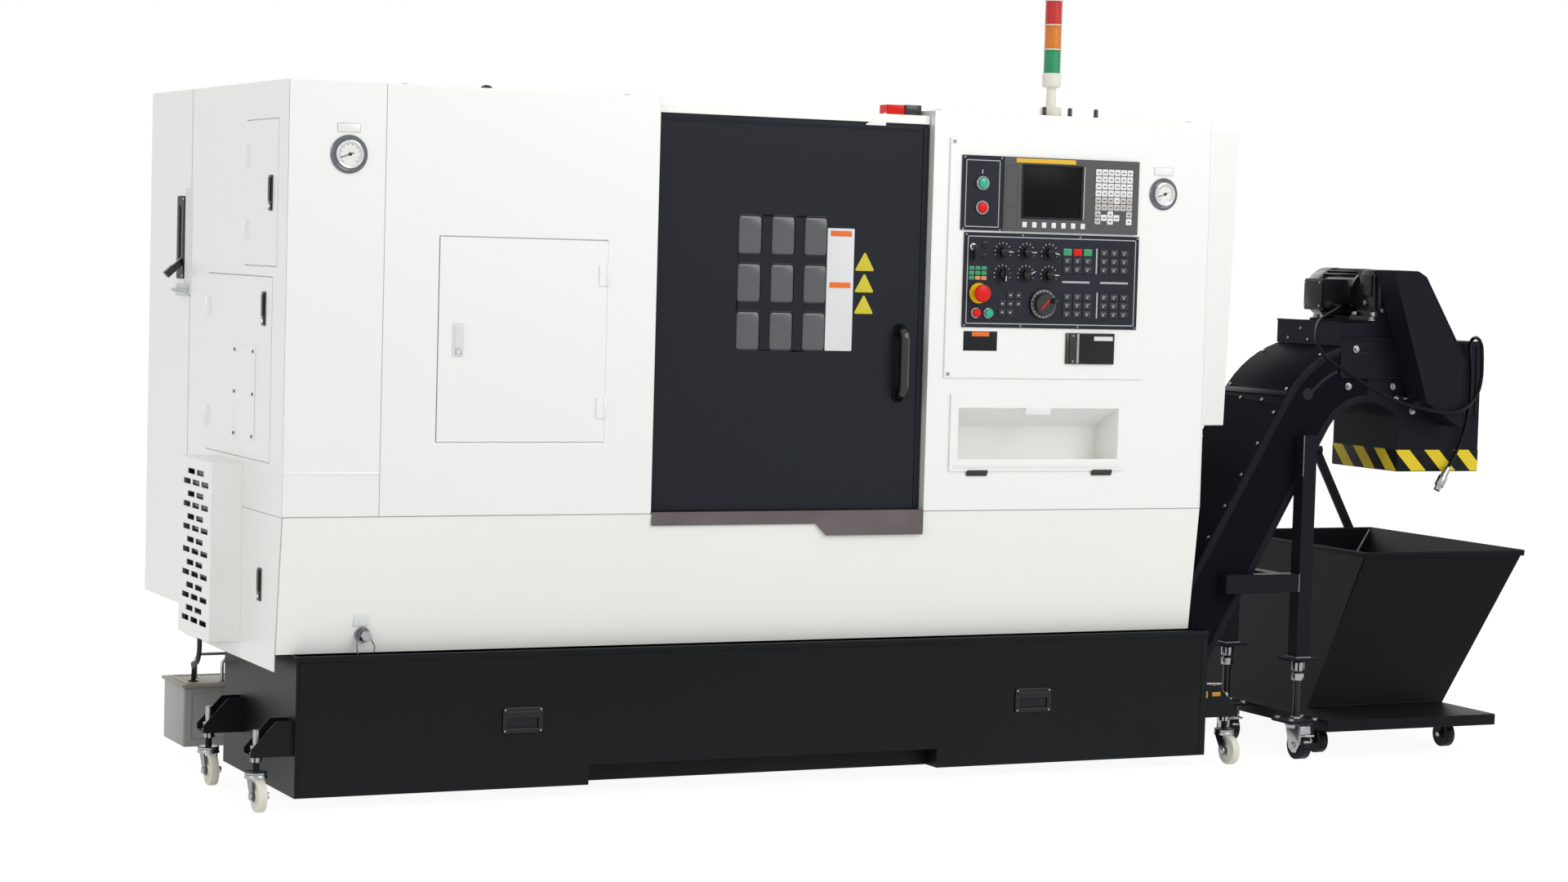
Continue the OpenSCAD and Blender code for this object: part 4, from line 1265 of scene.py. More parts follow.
    def button(self, name: str, spot: Point2, finish: Finish) -> None:
        """Push button that stands in a collar.

        Args:
            name: Its CAD node and body.
            spot: Its middle.
            finish: Its finish.
        """
        profile = [(1, 0), (1, 13.6), (7, 13.6), (10, 12.6), (11, 10.5), (11.4, 0)]
        Piece(name + "_cap", name, finish).turn(Way.FRONT, (spot[0], self.face, spot[1]), profile, 32).done(name)

    def buttons(self) -> None:
        """Power buttons, emergency stop and the start buttons."""
        collar = Piece("button_collars", "machine", ZINC, YELLOW, RED, TEAL)
        y, (stop_x, stop_z) = self.face, self.estop
        for x, z in (self.power_on, self.power_off):
            collar.turn(Way.FRONT, (x, y, z), [(0, 19), (4.5, 18.6), (6.4, 17), (6.4, 14.7), (0, 14.7)], 32)
        ring = [(0, 27), (1.6, 26.8), (2.6, 25.5), (2.6, 10.5), (0, 10.5)]
        collar.turn(Way.FRONT, (stop_x, y, stop_z), ring, 40, 1)
        for x, tint in ((1817, 2), (1853, 3)):
            collar.turn(Way.FRONT, (x, y, 1195), [(0, 14.5), (4, 14), (5.5, 12.6), (5.5, 0)], 28)
            collar.turn(Way.FRONT, (x, -15.4, 1195), [(0, 11), (6, 11), (8, 9.5), (8.4, 0)], 28, tint)
        collar.done()
        self.button("power_on_button", self.power_on, TEAL)
        self.button("power_off_button", self.power_off, RED)
        head = [(0, 0), (0, 9), (15, 9), (16.5, 18), (18, 22), (23, 22.4), (27, 20.5), (29.4, 15), (30, 0)]
        stop = Piece("estop_head", "estop_button", RED)
        stop.turn(Way.FRONT, (stop_x, -12.0, stop_z), head, 40).done("estop_button")

    def handwheel(self) -> None:
        """Graduated handwheel with its small crank."""
        x, z = self.wheel
        dial = Piece("handwheel_dial", "handwheel", BLACK, DARK_CHROME, MARK, RED)
        rim = [(0, 36), (0, 38), (3.4, 38), (5, 37), (5, 30), (0, 30)]
        body = [(0, 36.5), (4, 36.5), (5.6, 31.5), (7, 29), (18, 28), (20.5, 26), (20.8, 0)]
        dial.turns(Way.FRONT, ((x, -13.2, z), rim, 48, 1), ((x, -13.0, z), body, 48))
        dial.turn(Way.BACK, (x, -13.5, z), [(0, 0), (0, 10), (6, 10), (6, 0)], 24)
        for k in range(20):
            ends = strip(polar(self.wheel, 31.5, 18 * k), polar(self.wheel, 35.5, 18 * k), 1.4)
            dial.plate(FRONT, ends, (-18.5, -17.9), 0, 0, 2)
        dial.plate(FRONT, strip((x - 14, z - 13), (x + 10, z + 11), 4), (-34.4, -33.6), 1, 0.2, 3)
        dial.turn(Way.FRONT, (x + 22, -32.0, z + 8), [(0, 5), (3, 5), (4, 7), (13, 7), (15.5, 5.5), (16, 0)], 24)
        dial.done("handwheel")


@dataclass
class ConsoleTrim(Assembly):
    """Plates, bin trim, gauges and signal tower round the console."""

    steps = ("plates", "bin_trim", "data_lid", "gauge_pair", "signal")
    hinge_x: Point2 = (1810, 2181)
    gauges: tuple[Point3, ...] = ((147.0, 1536.0, 45.0), (2373.0, 1514.0, 42.0))
    tower: Point2 = (2112.0, 150.0)
    lens_pitch: float = 63.5

    def plates(self) -> None:
        """Blank plate, corner screws and bin hinges."""
        trim = Piece("console_trim", "machine", PANEL_EDGE, ORANGE, ZINC, BLACK, MARK)
        trim.slab(FRONT, (1787, 1885), (1098, 1148), (-7, -6), 1, 0.3)
        trim.slab(FRONT, (1811, 1861), (1135, 1146), (-7.6, -6.9), 0.5, 0.2, 1)
        trim.screws(Way.FRONT, ((1745, -6, 1038), (1745, -6, 1628)), 5, 2)
        for x in self.hinge_x:
            trim.slab(FRONT, (x, x + 60), (777, 785), (-4.6, 0), 3, 1.2, 3)
        trim.slab(FRONT, (2088, 2097), (1067, 1147), (-11, -6), 1, 0.8, 3)
        trim.done()

    def bin_trim(self) -> None:
        """Hinges, finger tab and fold of the bin."""
        tab = Piece("bin_tab", "bin", WHITE_SIDE, BLACK)
        for x in self.hinge_x:
            tab.rod(Way.RIGHT, (x - 0.5, -3.4, 786), 61, 3.3, 0.8, 1, 16)
            tab.slab(FRONT, (x, x + 60), (786, 792.5), (-7.2, -5.8), 2, 0.6, 1)
        tab.slab(FRONT, (1976, 2050), (935, 953), (-8, -5.6), 5, 1.0)
        tab.slab(FRONT, (1770, 2264), (797, 806), (-7.6, -5.8), 2, 0.8)
        tab.done()

    def data_lid(self) -> None:
        """Trim of the data port's cover."""
        lid = Piece("data_lid_trim", "data_cover", ZINC, MARK, GLOSS_BLACK)
        lid.slab(FRONT, (2119, 2125), (1069, 1145), (-13, -12), 0.5, 0.3)
        lid.slab(FRONT, (2129, 2230), (1069, 1145), (-12.8, -12), 2, 0.6, 2)
        lid.slab(FRONT, (2170, 2226), (1128, 1139), (-13.4, -12.6), 0.5, 0.2, 1)
        lid.screws(Way.FRONT, ((2108, -12, 1074), (2108, -12, 1140)), 3, 0)
        lid.done()

    def gauge(self, piece: Piece, x: float, z: float, r: float) -> None:
        """Round gauge with a bezel, three lugs, a scale and a needle.

        Args:
            piece: The piece that it joins.
            x: Middle, to the right.
            z: Middle, height.
            r: Outer radius.
        """
        mid = (x, z)
        flange = [(0, r - 8), (0, r), (2.6, r), (4.4, r - 1.6), (5, r - 9), (4, r - 11.4), (1, r - 11.4)]
        bezel = [(1, r - 11), (9, r - 11), (11.4, r - 12.4), (12, r - 14), (11.4, r - 15.6), (9, r - 16)]
        for profile, finish in ((flange, 5), (bezel, 0), ([(9, r - 11.5), (9.2, 0)], 1)):
            piece.turn(Way.FRONT, (x, 0, z), profile, 48, finish)
        lugs = [polar(mid, r - 5, angle) for angle in (90, 210, 330)]
        piece.screws(Way.FRONT, ((u, -4.4, v) for u, v in lugs), 3.2, 5)
        for k in range(28):
            angle, inner = 225 - 10 * k, r - (24 if k % 3 == 0 else 21)
            ends = strip(polar(mid, inner, angle), polar(mid, r - 18, angle), 0.9)
            piece.plate(FRONT, ends, (-9.5, -9.1), 0, 0, 2)
        needle = strip(polar(mid, 10, 20), polar(mid, r - 21, 200), 1.8)
        piece.plate(FRONT, needle, (-10.4, -9.8), 0, 0, 2)
        piece.turn(Way.FRONT, (x, -9, z), [(0, 4), (2, 4), (2.6, 0)], 16, 2)

    def gauge_pair(self) -> None:
        """Both gauges, with a blank plate above each."""
        pair = Piece("gauge_pair", "machine", CHROME, DIAL, BLACK, LINE, WHITE, DARK_CHROME)
        for x, z, r in self.gauges:
            self.gauge(pair, x, z, r)
            u, v = (x - 29, x + 27), (z + r + 6, z + r + 27)
            pair.slabs(FRONT, (u, v, (-0.8, 0), 1, 0.2, 4), (u, v, (-1.0, 0), 1, 0.1, 3, 0.9))
        pair.done("gauges")

    def lens(self, piece: Piece, low: float, high: float, finish: int) -> None:
        """One ribbed lens with a white ring above it.

        Args:
            piece: The piece that it joins.
            low: Its lower edge.
            high: Upper edge of the ring.
            finish: Number of its finish.
        """
        ring, count = 3, 9
        tall = high - low - ring
        step = tall / count
        ribs: list[Point2] = [(0, 0), (0, 22)]
        for k in range(count):
            start = tall * k / count
            ribs += [(start + step * 0.2, 22.0), (start + step * 0.5, 23.2), (start + step * 0.8, 22.0)]
        piece.turn(Way.UP, (*self.tower, low), ribs + [(tall, 22), (tall, 0)], 32, finish)
        band = [(0, 0), (0, 24.5), (ring, 24.5), (ring, 0)]
        piece.turn(Way.UP, (*self.tower, high - ring), band, 32, 0, 0.5)

    def signal(self) -> None:
        """Signal tower with three lenses, and the small posts on the cover."""
        mid, top, pitch = self.tower, COVER_TOP, self.lens_pitch
        tower = Piece("signal_lamps", "machine", IVORY, LENS_GREEN, LENS_AMBER, LENS_RED, BLACK, ZINC)
        tower.rod(Way.UP, (*mid, top), 6, 34, 1.5, 0, 32)
        tower.rod(Way.UP, (*mid, top + 6), 22, 29, 2.5, 0, 6)
        tower.turns(
            Way.UP, ((*mid, top + 26), [(0, 0), (0, 18), (6, 14), (50, 12.5), (54, 16), (54, 0)], 32),
            ((*mid, top + 80), [(0, 0), (0, 22), (4, 25.5), (30, 25.5), (37, 24.5), (37, 0)], 32),
        )
        for k in range(3):
            self.lens(tower, top + 117 + pitch * k, top + 117 + pitch + pitch * k, k + 1)
        tower.turn(Way.UP, (*mid, top + 307.5), [(0, 0), (0, 24.5), (8, 24), (13, 18), (15, 0)], 32)
        for x in (2076, 2153, 2232):
            tower.turn(Way.UP, (x, 120, top), [(0, 0), (0, 9), (4, 9), (5, 6), (24, 6), (27, 4), (27.5, 0)], 20, 4)
        tower.screws(Way.UP, ((*polar(mid, 26, 45 + 90 * k), top + 6) for k in range(4)), 3, 5)
        tower.done("signal_tower")


@dataclass
class CoverHardware(Assembly):
    """Latches, plates and lines on the white covers."""

    steps = ("latches", "lines", "side_plate", "disconnect", "coupling", "roof", "back")
    rear: float = 1150.0
    cabinet_rear: float = 1202.0

    def latch(
        self, name: str, body: str, plane: Plane, mid: float, z: Span, shell: Finish = GLOSS_BLACK,
        recess: Finish = GLOSS_BLACK,
    ) -> None:
        """Flush paddle latch.

        Args:
            name: Name of the piece.
            body: Body that it rides on.
            plane: The left side or the front.
            mid: Middle across.
            z: Lower and upper edge.
            shell: Finish of its case and paddle.
            recess: Finish of the finger recess.
        """
        low, high = z
        latch = Piece(name, body, shell, CHROME, recess)
        latch.slabs(
            plane, ((mid - 14, mid + 14), z, (-3.0, 0), 4, 1.2),
            ((mid - 9, mid + 9), (low + 22, high - 5), (-6.0, -2.5), 3, 1.6),
            ((mid - 9, mid + 9), (low + 5, low + 19), (-4.2, -2.5), 3, 0.8, 2),
        )
        way = Way.LEFT if plane is SIDE else Way.FRONT
        latch.turn(way, plane.spot(mid, low + 12, -4.2), [(0, 5), (1.0, 4.8), (1.4, 0)], 16, 1)
        latch.done()

    def latches(self) -> None:
        """Latches of the access door, the side doors and the left foot."""
        self.latch("access_latch", "access_door", FRONT, 426, (1067, 1148), MARK, KEY_GREY)
        self.latch("upper_latch", "side_door_upper", SIDE, 127, (1400, 1484))
        self.latch("lower_latch", "side_door_lower", SIDE, 165, (1129, 1210))
        self.latch("foot_latch", "machine", SIDE, 160, (477, 556))

    def lines(self) -> None:
        """Dark joints between the cover sheets, and the folds along them."""
        gap = Piece("cover_joints", "machine", JOINT, WHITE, WHITE_SIDE, BLACK)
        y, seam, sheet = (-0.3, 0.2), grown((COVER_SEAM, COVER_SEAM), 0.8), (COVER_SEAM + 1, COVER_TOP - 1)
        gap.slabs(FRONT, ((237.4, 238.8), sheet, y, 0, 0), ((1, 935), seam, y, 0, 0), ((1691, 2519), seam, y, 0, 0))
        gap.slabs(SIDE, ((810.2, 811.6), (395, COVER_TOP - 1), y, 0, 0), ((2, 809), seam, y, 0, 0))
        for plane, u, v in (
            (SIDE, (72, 334), (1269, 1616)), (SIDE, (102, 643), (807, 1246)), (FRONT, (375, 806), (863, 1353)),
        ):
            gap.slab(plane, grown(u, 7), grown(v, 7), (4.2, 5.2), 0, 0.2, 1, 8.5)
        gap.slab(SIDE, (320, 585), (365, 790), (-60, -58), 4, 0.5, 3)
        gap.slab(FRONT, (4, 237), (786, 794), (-1.6, 0), 2, 0.7, 1)
        gap.slab(FRONT, (2516, 2519.5), sheet, (-1.4, 0), 1, 0.6, 1)
        gap.done()

    def side_plate(self) -> None:
        """Screwed cover plate on the lower side door."""
        plate = Piece("side_plate", "side_door_lower", WHITE, DARK_CHROME)
        plate.slab(SIDE, (228, 405), (850, 1077), (-2.5, 0), 4, 0.8)
        plate.screws(Way.LEFT, product((-2.5,), (240, 393), (862, 963, 1065)), 4.2, 1)
        plate.done()

    def disconnect(self) -> None:
        """Plate, slot frame and hasp of the main switch."""
        slot = Piece("switch_plate", "machine", MARK, CORD, STEEL)
        slot.slabs(
            SIDE, ((800, 863), (1188, 1456), (-1.2, 0), 2, 0.3), ((864, 934), (1225, 1436), (-3.0, 0), 6, 1.2, 1, 26),
            ((868, 930), (1230, 1431), (-1.2, 0), 4, 0.3, 1), ((816, 933), (1182, 1212), (-4.0, 0), 3, 1.0, 2),
        )
        slot.bent([(-3, 826, 1197), (-26, 832, 1200), (-34, 850, 1198), (-26, 868, 1196), (-3, 874, 1197)], 4, 2)
        slot.screws(Way.LEFT, ((-3, y, z) for z, y in product((1233, 1428), (872, 926))), 3.4, 2)
        slot.done()

    def coupling(self) -> None:
        """Hose coupling with its cap chain, low on the left front."""
        x, z = 213.0, 406.0
        part = Piece("coupling", "machine", DARK_CHROME, MARK, ZINC)
        socket = [(0, 19), (3, 19), (4, 14), (12, 14), (14, 11), (26, 11), (28, 9), (28, 0)]
        part.turns(Way.FRONT, ((x, 30, z), socket, 24), ((x, 5, z), [(0, 13), (9, 13), (10, 12), (10, 0)], 6, 2))
        part.slab(FRONT, (190, 226), (428, 458), (24, 27), 2, 0.6, 1)
        chain = ((12, 14, 0), (26, 12, -26), (22, 13, -60), (2, 16, -72), (-14, 18, -52), (-16, 20, -18))
        part.bent([(x + dx, y, z + dz) for dx, y, dz in chain], 1.6)
        part.done()

    def roof(self) -> None:
        """Lifting plugs, roof folds and the interlock's trim."""
        top = COVER_TOP
        roof = Piece("roof_trim", "machine", BLACK, WHITE, ZINC, RED)
        roof.turn(Way.UP, (521, 100, top), [(0, 16), (3, 16), (9, 12), (12, 6), (12.6, 0)], 24)
        for spot in product((300, 870, 1730, 2480), (60, 290), (top,)):
            roof.turn(Way.UP, spot, [(0, 12), (2, 12), (4, 9), (4, 0)], 20, 2)
        for y in (330, 700):
            roof.slab(TOP, (20, 930), (y, y + 16), (top, top + 3), 2, 1.2, 1)
        roof.slab(FRONT, (1586, 1632), (1692, 1714), (59.5, 62), 2, 0.8, 3)
        roof.box((1634, 1682), (58.5, 105), (1689, 1717.5), 3)
        roof.plate(FRONT, [(1500, 1660), (1560, 1660), (1560, 1694)], (18, 21.5), 2, 0.6, 1)
        roof.done()

    def back(self) -> None:
        """Lids, louvres and screws on the rear covers and the cabinet's back."""
        rear = Piece("rear_trim", "machine", WHITE, ZINC, PANEL_EDGE)
        y, lid = self.rear, self.rear + 3
        for x in (420, 1120, 1820):
            rear.slab(FRONT, (x, x + 600), (470, 1200), (y, lid), 6, 1.0)
            rear.screws(Way.BACK, product((x + 20, x + 580), (lid,), (490, 835, 1180)), 5, 1)
        y, lid = self.cabinet_rear, self.cabinet_rear + 2
        for k in range(8):
            z = 1420 + 22 * k
            rear.slab(FRONT, (60, 270), (z, z + 9), (y, y + 4), 4, 1.6)
        rear.slab(FRONT, (24, 310), (430, 1380), (y, lid), 6, 0.8)
        rear.screws(Way.BACK, product((36, 298), (lid,), (445, 905, 1365)), 5, 1)
        # the right end cover leans by 20 mm on 790
        feet = [(2670 + 20 * (z - 900) / 790, v, z) for v, z in product((220, 500, 740), (940, 1640))]
        rear.screws(Way.RIGHT, feet, 5, 1)
        rear.done()


@dataclass
class TankTrim(Assembly):
    """Handles, fittings and wheels of the coolant tank."""

    steps = ("handles", "edges", "bracket_trim", "wheels")
    front: float = -10.0
    right_end: float = 2555.0
    trail: float = 28.0
    axle_z: float = 38.0
    casters: tuple[tuple[str, float, float], ...] = (
        ("front", -40.0, 30.0), ("rear", -40.0, 430.0), ("right", 2636.0, 22.0),
    )

    def handles(self) -> None:
        """Two flush pull handles."""
        pull = Piece("tank_handles", "machine", GLOSS_BLACK, PANEL_EDGE, ZINC)
        z, y = (163, 226), self.front
        for x in ((556, 660), (1969, 2075)):
            pull.slab(FRONT, x, z, (y - 5, y), 8, 2.0, 0, 12)
            pull.slab(FRONT, grown(x, -10), grown(z, -10), (y - 0.8, y), 4, 0.2, 1)
            pull.slab(FRONT, grown(x, -10), (z[1] - 26, z[1] - 10), (y - 5, y - 1), 3, 1.6)
            pull.screws(Way.FRONT, product(grown(x, -6), (y - 5,), grown(z, -6)), 2.6, 2)
        pull.done()

    def edges(self) -> None:
        """Rolled rim, seams, and the drain valve at the right end."""
        trim = Piece("tank_trim", "machine", TANK_BLACK, BRASS, ZINC)
        trim.slab(FRONT, (41, 2555), (349, 363), (self.front - 4, self.front), 2, 1.4)
        for x in (50, 2536):
            trim.slab(FRONT, (x, x + 9), (31, 348), (self.front - 1.4, self.front), 2, 0.7)
        x = self.right_end
        trim.turns(
            Way.RIGHT, ((x, 6, 190), [(0, 18), (5, 18), (6, 13), (22, 13), (22, 0)], 6, 1),
            ((x + 20, 6, 190), [(0, 15), (26, 15), (28, 12), (40, 12), (40, 8), (36, 8)], 24, 1),
        )
        trim.turn(Way.UP, (x + 32, 6, 202), [(0, 8), (9, 8), (10, 5), (14, 5), (14, 0)], 20, 1)
        trim.box((x + 8, x + 56), (1, 11), (214, 219), 2, 2)
        trim.done()

    def bracket_trim(self) -> None:
        """Zinc stems and nuts over the caster brackets."""
        stem = Piece("caster_stems", "machine", ZINC)
        rings = thread(13, 2.9, (0.7, 1.5, 2.3), 8.3, 8.8) + [(38.4, 7.2), (38.6, 0)]
        for _, x, y in self.casters:
            for low, high in ((113.5, 128), (134, 152.5)):
                stem.rod(Way.UP, (x, y, low), high - low, 15, 1.4, 0, 6)
            stem.rod(Way.UP, (x, y, 134), 2.5, 17, 0.6, 0, 28)
            cup = [(0, 26.3), (4, 26.3), (6.4, 23), (6.6, 8)]
            stem.turns(Way.UP, ((x, y, 152), rings, 20), ((x, y, 86), cup, 32))
        stem.done()

    def wheels(self) -> None:
        """Three turned nylon wheels with a hub, on their own joints."""
        half = [(-11, 5.6), (-11, 12), (-8, 13), (-7, 30), (-11, 33), (-10, 37), (-8, 38), (-1, 38), (-0.6, 37.4)]
        sides = ((1, Way.RIGHT), (-1, Way.LEFT))
        for name, x, y in self.casters:
            axle = (y - self.trail, self.axle_z)
            wheel = Piece(name + "_wheel_tread", name + "_caster_wheel", NYLON, ZINC)
            wheel.turn(Way.RIGHT, (x, *axle), tread(half), 44)
            for sign, way in sides:
                wheel.turn(way, (x + sign * 9.5, *axle), [(0, 5.7), (0, 9), (2, 9), (2, 5.7)], 20, 1)
            wheel.done(name + "_caster_wheel")
            fork = Piece(name + "_fork_trim", name + "_caster_fork", ZINC)
            for sign, way in sides:
                fork.rod(way, (x + sign * 17, *axle), 7, 9, 1.0, 0, 6)
            fork.turn(Way.UP, (x, y, 76.5), [(0, 15), (0, 27), (4, 27), (8, 25), (8.4, 24)], 36)
            fork.done()


@dataclass
class Conveyor(Assembly):
    """Flanges, screws, motor and band of the chip conveyor."""

    steps = ("trough", "head", "drive", "band", "stand")
    near: float = 60.0
    far: float = 365.0
    bend: Point2 = (3088.0, 822.0)
    outer: float = 312.0
    slope: float = 60.0
    motor: Point2 = (3168.0, 1262.0)
    stand_x: float = 2879.0

    def flange(self, piece: Piece, y: Span, radius: float, foot: Point2, width: float) -> None:
        """Flat bar along one edge of the rise and round the bend.

        Args:
            piece: The piece that it joins.
            y: Its depth.
            radius: Its distance from the bend's middle.
            foot: Its lower end.
            width: Its width.
        """
        start, rise = 90 + self.slope, math.radians(self.slope)
        outline = arc(self.bend, radius + width / 2, start, 90, 10) + arc(self.bend, radius - width / 2, 90, start, 10)
        side = Vector((-math.sin(rise), math.cos(rise))) * width / 2
        piece.plate(FRONT, outline + [tuple(Vector(foot) - side), tuple(Vector(foot) + side)], y, 0, 0.8)

    def on_top(self, along: float) -> tuple[Vector, Vector]:
        """Place on the trough's top sheet.

        Args:
            along: Distance below the bend's start, or an angle of the bend as a negative number.

        Returns:
            The place in the front plane and the way that the sheet faces.
        """
        away = Vector(polar((0, 0), 1, -along if along < 0 else 90 + self.slope))
        down = Vector(polar((0, 0), -1, self.slope)) * max(along, 0.0)
        return Vector(self.bend) + away * self.outer + down, Vector((away.x, 0.0, away.y))

    def trough(self) -> None:
        """Edge flanges, the lap joint and the screws of the top sheet."""
        rails = Piece("trough_flanges", "machine", NAVY, ZINC, PANEL_EDGE)
        for y in ((self.near - 2.5, self.near), (self.far, self.far + 2.5)):
            self.flange(rails, y, 302, (2440.0, 311.0), 20)
            self.flange(rails, y, 157, (2560.0, 222.0), 20)
        lap = strip(polar(self.bend, self.outer + 1, 146.0), polar(self.bend, self.outer + 1, 148.8), 2.4)
        rails.plate(FRONT, lap, (self.near, self.far), 0, 0.5)
        rows = product((-118.5, -144.6, 45, 142, 240, 337, 434, 531), (self.near + 15, self.far - 15))
        for along, y in (*rows, (10, 160), (10, 265)):
            spot, facing = self.on_top(along)
            rails.screws(facing, [(spot.x, y, spot.y)], 5, 1)
        slit = arc(self.bend, 256, 139, 114, 8) + arc(self.bend, 248, 114, 139, 8)
        rails.plate(FRONT, slit, (self.near - 0.6, self.near), 0, 0.1, 2)
        rails.turn(Way.FRONT, (2892, self.near, 990), [(0, 17), (1.5, 16.5), (2, 13), (1, 12), (1, 0)], 24, 2)
        rails.done()

    def bolt(self, piece: Piece, x: float, z: float, face: float) -> None:
        """Hexagon bolt on a washer, facing the front.

        Args:
            piece: The piece that it joins.
            x: Middle, to the right.
            z: Middle, height.
            face: Front of what it is screwed into.
        """
        piece.rod(Way.FRONT, (x, face, z), 2, 10, 0.5, 1, 24)
        piece.rod(Way.FRONT, (x, face - 2, z), 7, 7.5, 1.2, 1, 6)

    def head(self) -> None:
        """Tension plate, bolts and folded edges of the head, the guard and the base."""
        y = self.near
        head = Piece("head_trim", "machine", NAVY, ZINC, PANEL_EDGE)
        head.slab(FRONT, (3300, 3464), (1126, 1140), (y - 3, y), 1, 0.8)
        head.slab(FRONT, (3450, 3464), (932, 1126), (y - 3, y), 1, 0.8)
        head.slab(SIDE, (self.near + 6, self.far - 6), (950, 1118), (3468, 3471), 3, 0.8)
        head.screws(Way.RIGHT, ((3471, v, z) for z, v in product((962, 1106), (80, 212, 345))), 5, 1)
        head.slabs(
            FRONT, ((2994, 3226), (1139, 1145), (y - 8, y - 4), 1, 0.8),
            ((2994, 3226), (1034, 1041), (y - 7, y - 4), 1, 0.8),
            ((3026, 3098), (1103, 1125), (y - 4.6, y - 4), 10, 0.2, 2, 2.5),
        )
        for x, z, face in ((3042, 1114, y - 4.4), (3024, 1012, y), (3173, 1013, y), (3240, 946, y)):
            self.bolt(head, x, z, face)
        head.box((3186, 3200), (y - 14, y), (974, 990), 1.5)
        head.rod(Way.RIGHT, (3170, y - 7, 982), 48, 4.4, 0.6, 1, 16)
        head.rod(Way.RIGHT, (3176, y - 7, 982), 8, 8, 0.8, 1, 6)
        edge = [(3096, 1332), (3177, 1331), (3205, 1316), (3347, 1091), (3350, 916), (3337, 904), (3221, 973)]
        head.plate(FRONT, edge, (-31.2, -30), 4, 0.6, 0, 5)
        for x, v in product((3110, 3278), (78, 347)):
            head.rod(Way.UP, (x, v, 1192), 10, 10, 1.0, 1, 6)
            head.rod(Way.UP, (x, v, 1191), 3, 14, 0.5, 1, 24)
        head.screws(Way.LEFT, ((2993, 250, 1164), (2993, 310, 1136), (2993, 215, 1134)), 4.4, 1)
        head.slab(TOP, (2990, 3001), (self.near, self.far), (1184, 1188), 1, 1.0)
        head.done()

    def drive(self) -> None:
        """Finned motor with its fan cover, gearbox ribs and terminal lid."""
        x, z = self.motor
        drive = Piece("drive_trim", "machine", MOTOR, CAST, ZINC, PANEL_EDGE)
        count = 28
        for angle in (360 * k / count for k in range(count)):
            if not 140 < angle < 220:
                fin = strip(polar(self.motor, 63, angle), polar(self.motor, 71, angle), 3)
                drive.plate(FRONT, fin, (180, 336), 0, 0.6)
        drive.turn(Way.BACK, (x, 336, z), [(0, 66), (3, 72), (48, 72), (58, 68), (62, 58), (62, 0)], 40)
        for r in (16, 26, 36, 46):
            drive.turn(Way.BACK, (x, 398, z), [(0, r - 2.4), (0.5, r - 2.4), (0.5, r + 2.4), (0, r + 2.4)], 36, 3)
        drive.turn(Way.BACK, (x, 168, z), [(0, 70), (10, 70), (12, 66), (12, 60)], 40)
        for angle in (45, 135, 225, 315):
            u, v = polar(self.motor, 58, angle)
            drive.rod(Way.FRONT, (u, 60, v), 5, 7, 0.8, 2, 6)
        drive.slab(SIDE, (214, 296), (1220, 1298), (3030, 3037), 4, 1.6)
        drive.screws(Way.LEFT, product((3030,), (221, 289), (1227, 1291)), 3.4, 2)
        drive.rod(Way.FRONT, (3050, 211, 1230), 10, 14.5, 1.0, 3, 6)
        drive.turn(Way.FRONT, (3050, 201, 1230), [(0, 13.2), (6, 13), (11, 10), (13, 6), (13, 5.2)], 24, 3)
        foot = [
            (62, 1198), (168, 1198), (168, 1212), (148, 1226), (148, 1312), (134, 1330), (92, 1330), (78, 1312),
            (78, 1226), (62, 1212),
        ]
        drive.plate(SIDE, foot, (3112, 3120), 0, 2.0)
        drive.slab(SIDE, (88, 138), (1258, 1318), (3106, 3112), 5, 2.0)
        for v in (72, 158):
            drive.rod(Way.UP, (3106, v, 1204), 11, 8, 1.0, 2, 6)
        drive.rod(Way.LEFT, (3112, 113, 1240), 9, 8, 1.0, 2, 6)
        drive.done()

    def band(self) -> None:
        """Hazard band round the foot of the chute."""
        band = Piece("chute_band", "machine", HAZARD)
        x, y, z, thick = (3195, 3468), (self.near, self.far), (780, 838), 0.9
        for plane, along, (low, high) in ((FRONT, x, y), (SIDE, y, x)):
            band.slab(plane, along, z, (low - thick, low), 0, 0.2)
            band.slab(plane, along, z, (high, high + thick), 0, 0.2)
        band.done()

    def stand(self) -> None:
        """Weld beads, zinc stems and braked wheels of the stand."""
        stand = Piece("stand_trim", "machine", WELD, ZINC, GLOSS_BLACK, RUBBER)
        x = self.stand_x
        rings = thread(34, 3.6, (0.9, 1.8, 2.7), 10.4, 11.0) + [(124, 10.2)]
        half = [(-14.3, 7), (-14.3, 15), (-10, 17), (-10, 29), (-14.2, 32), (-13, 37), (-9, 38)]
        for y in (self.near - 21, self.far + 21):
            stand.bent([(2857, y - 22, 276), (2901, y - 22, 276), (2901, y + 22, 276), (2857, y + 22, 276)], 3, 0, True)
            stand.bent([(2857.5, y - 21.5, 456), (2857.5, y - 21.5, 504)], 2.0)
            cheek = [(y - 36, 98), (y + 26, 98), (y + 6, 30), (y - 10, 18), (y - 28, 18), (y - 46, 44)]
            for side in (-18.4, 16.8):
                stand.plate(SIDE, cheek, (x + side, x + side + 1.6), 5, 0.6, 1)
            stand.slab(TOP, (x - 34, x + 34), (y - 38, y + 30), (97.4, 99), 6, 0.6, 1)
            stand.box((x - 15, x + 15), (y - 68, y - 34), (66, 72), 2.2, 1)
            stand.box((x - 12, x + 12), (y - 60, y - 32), (48, 54), 2.2, 1)
            stand.box((x - 18, x + 18), (y - 46, y - 40), (42, 92), 2.0, 1)
            stand.rod(Way.UP, (x, y, 239), 24, 18, 1.6, 1, 6)
            stand.rod(Way.UP, (x, y, 105), 9, 16, 1.0, 1, 6)
            stand.turn(Way.UP, (x, y, 114), rings, 20, 2)
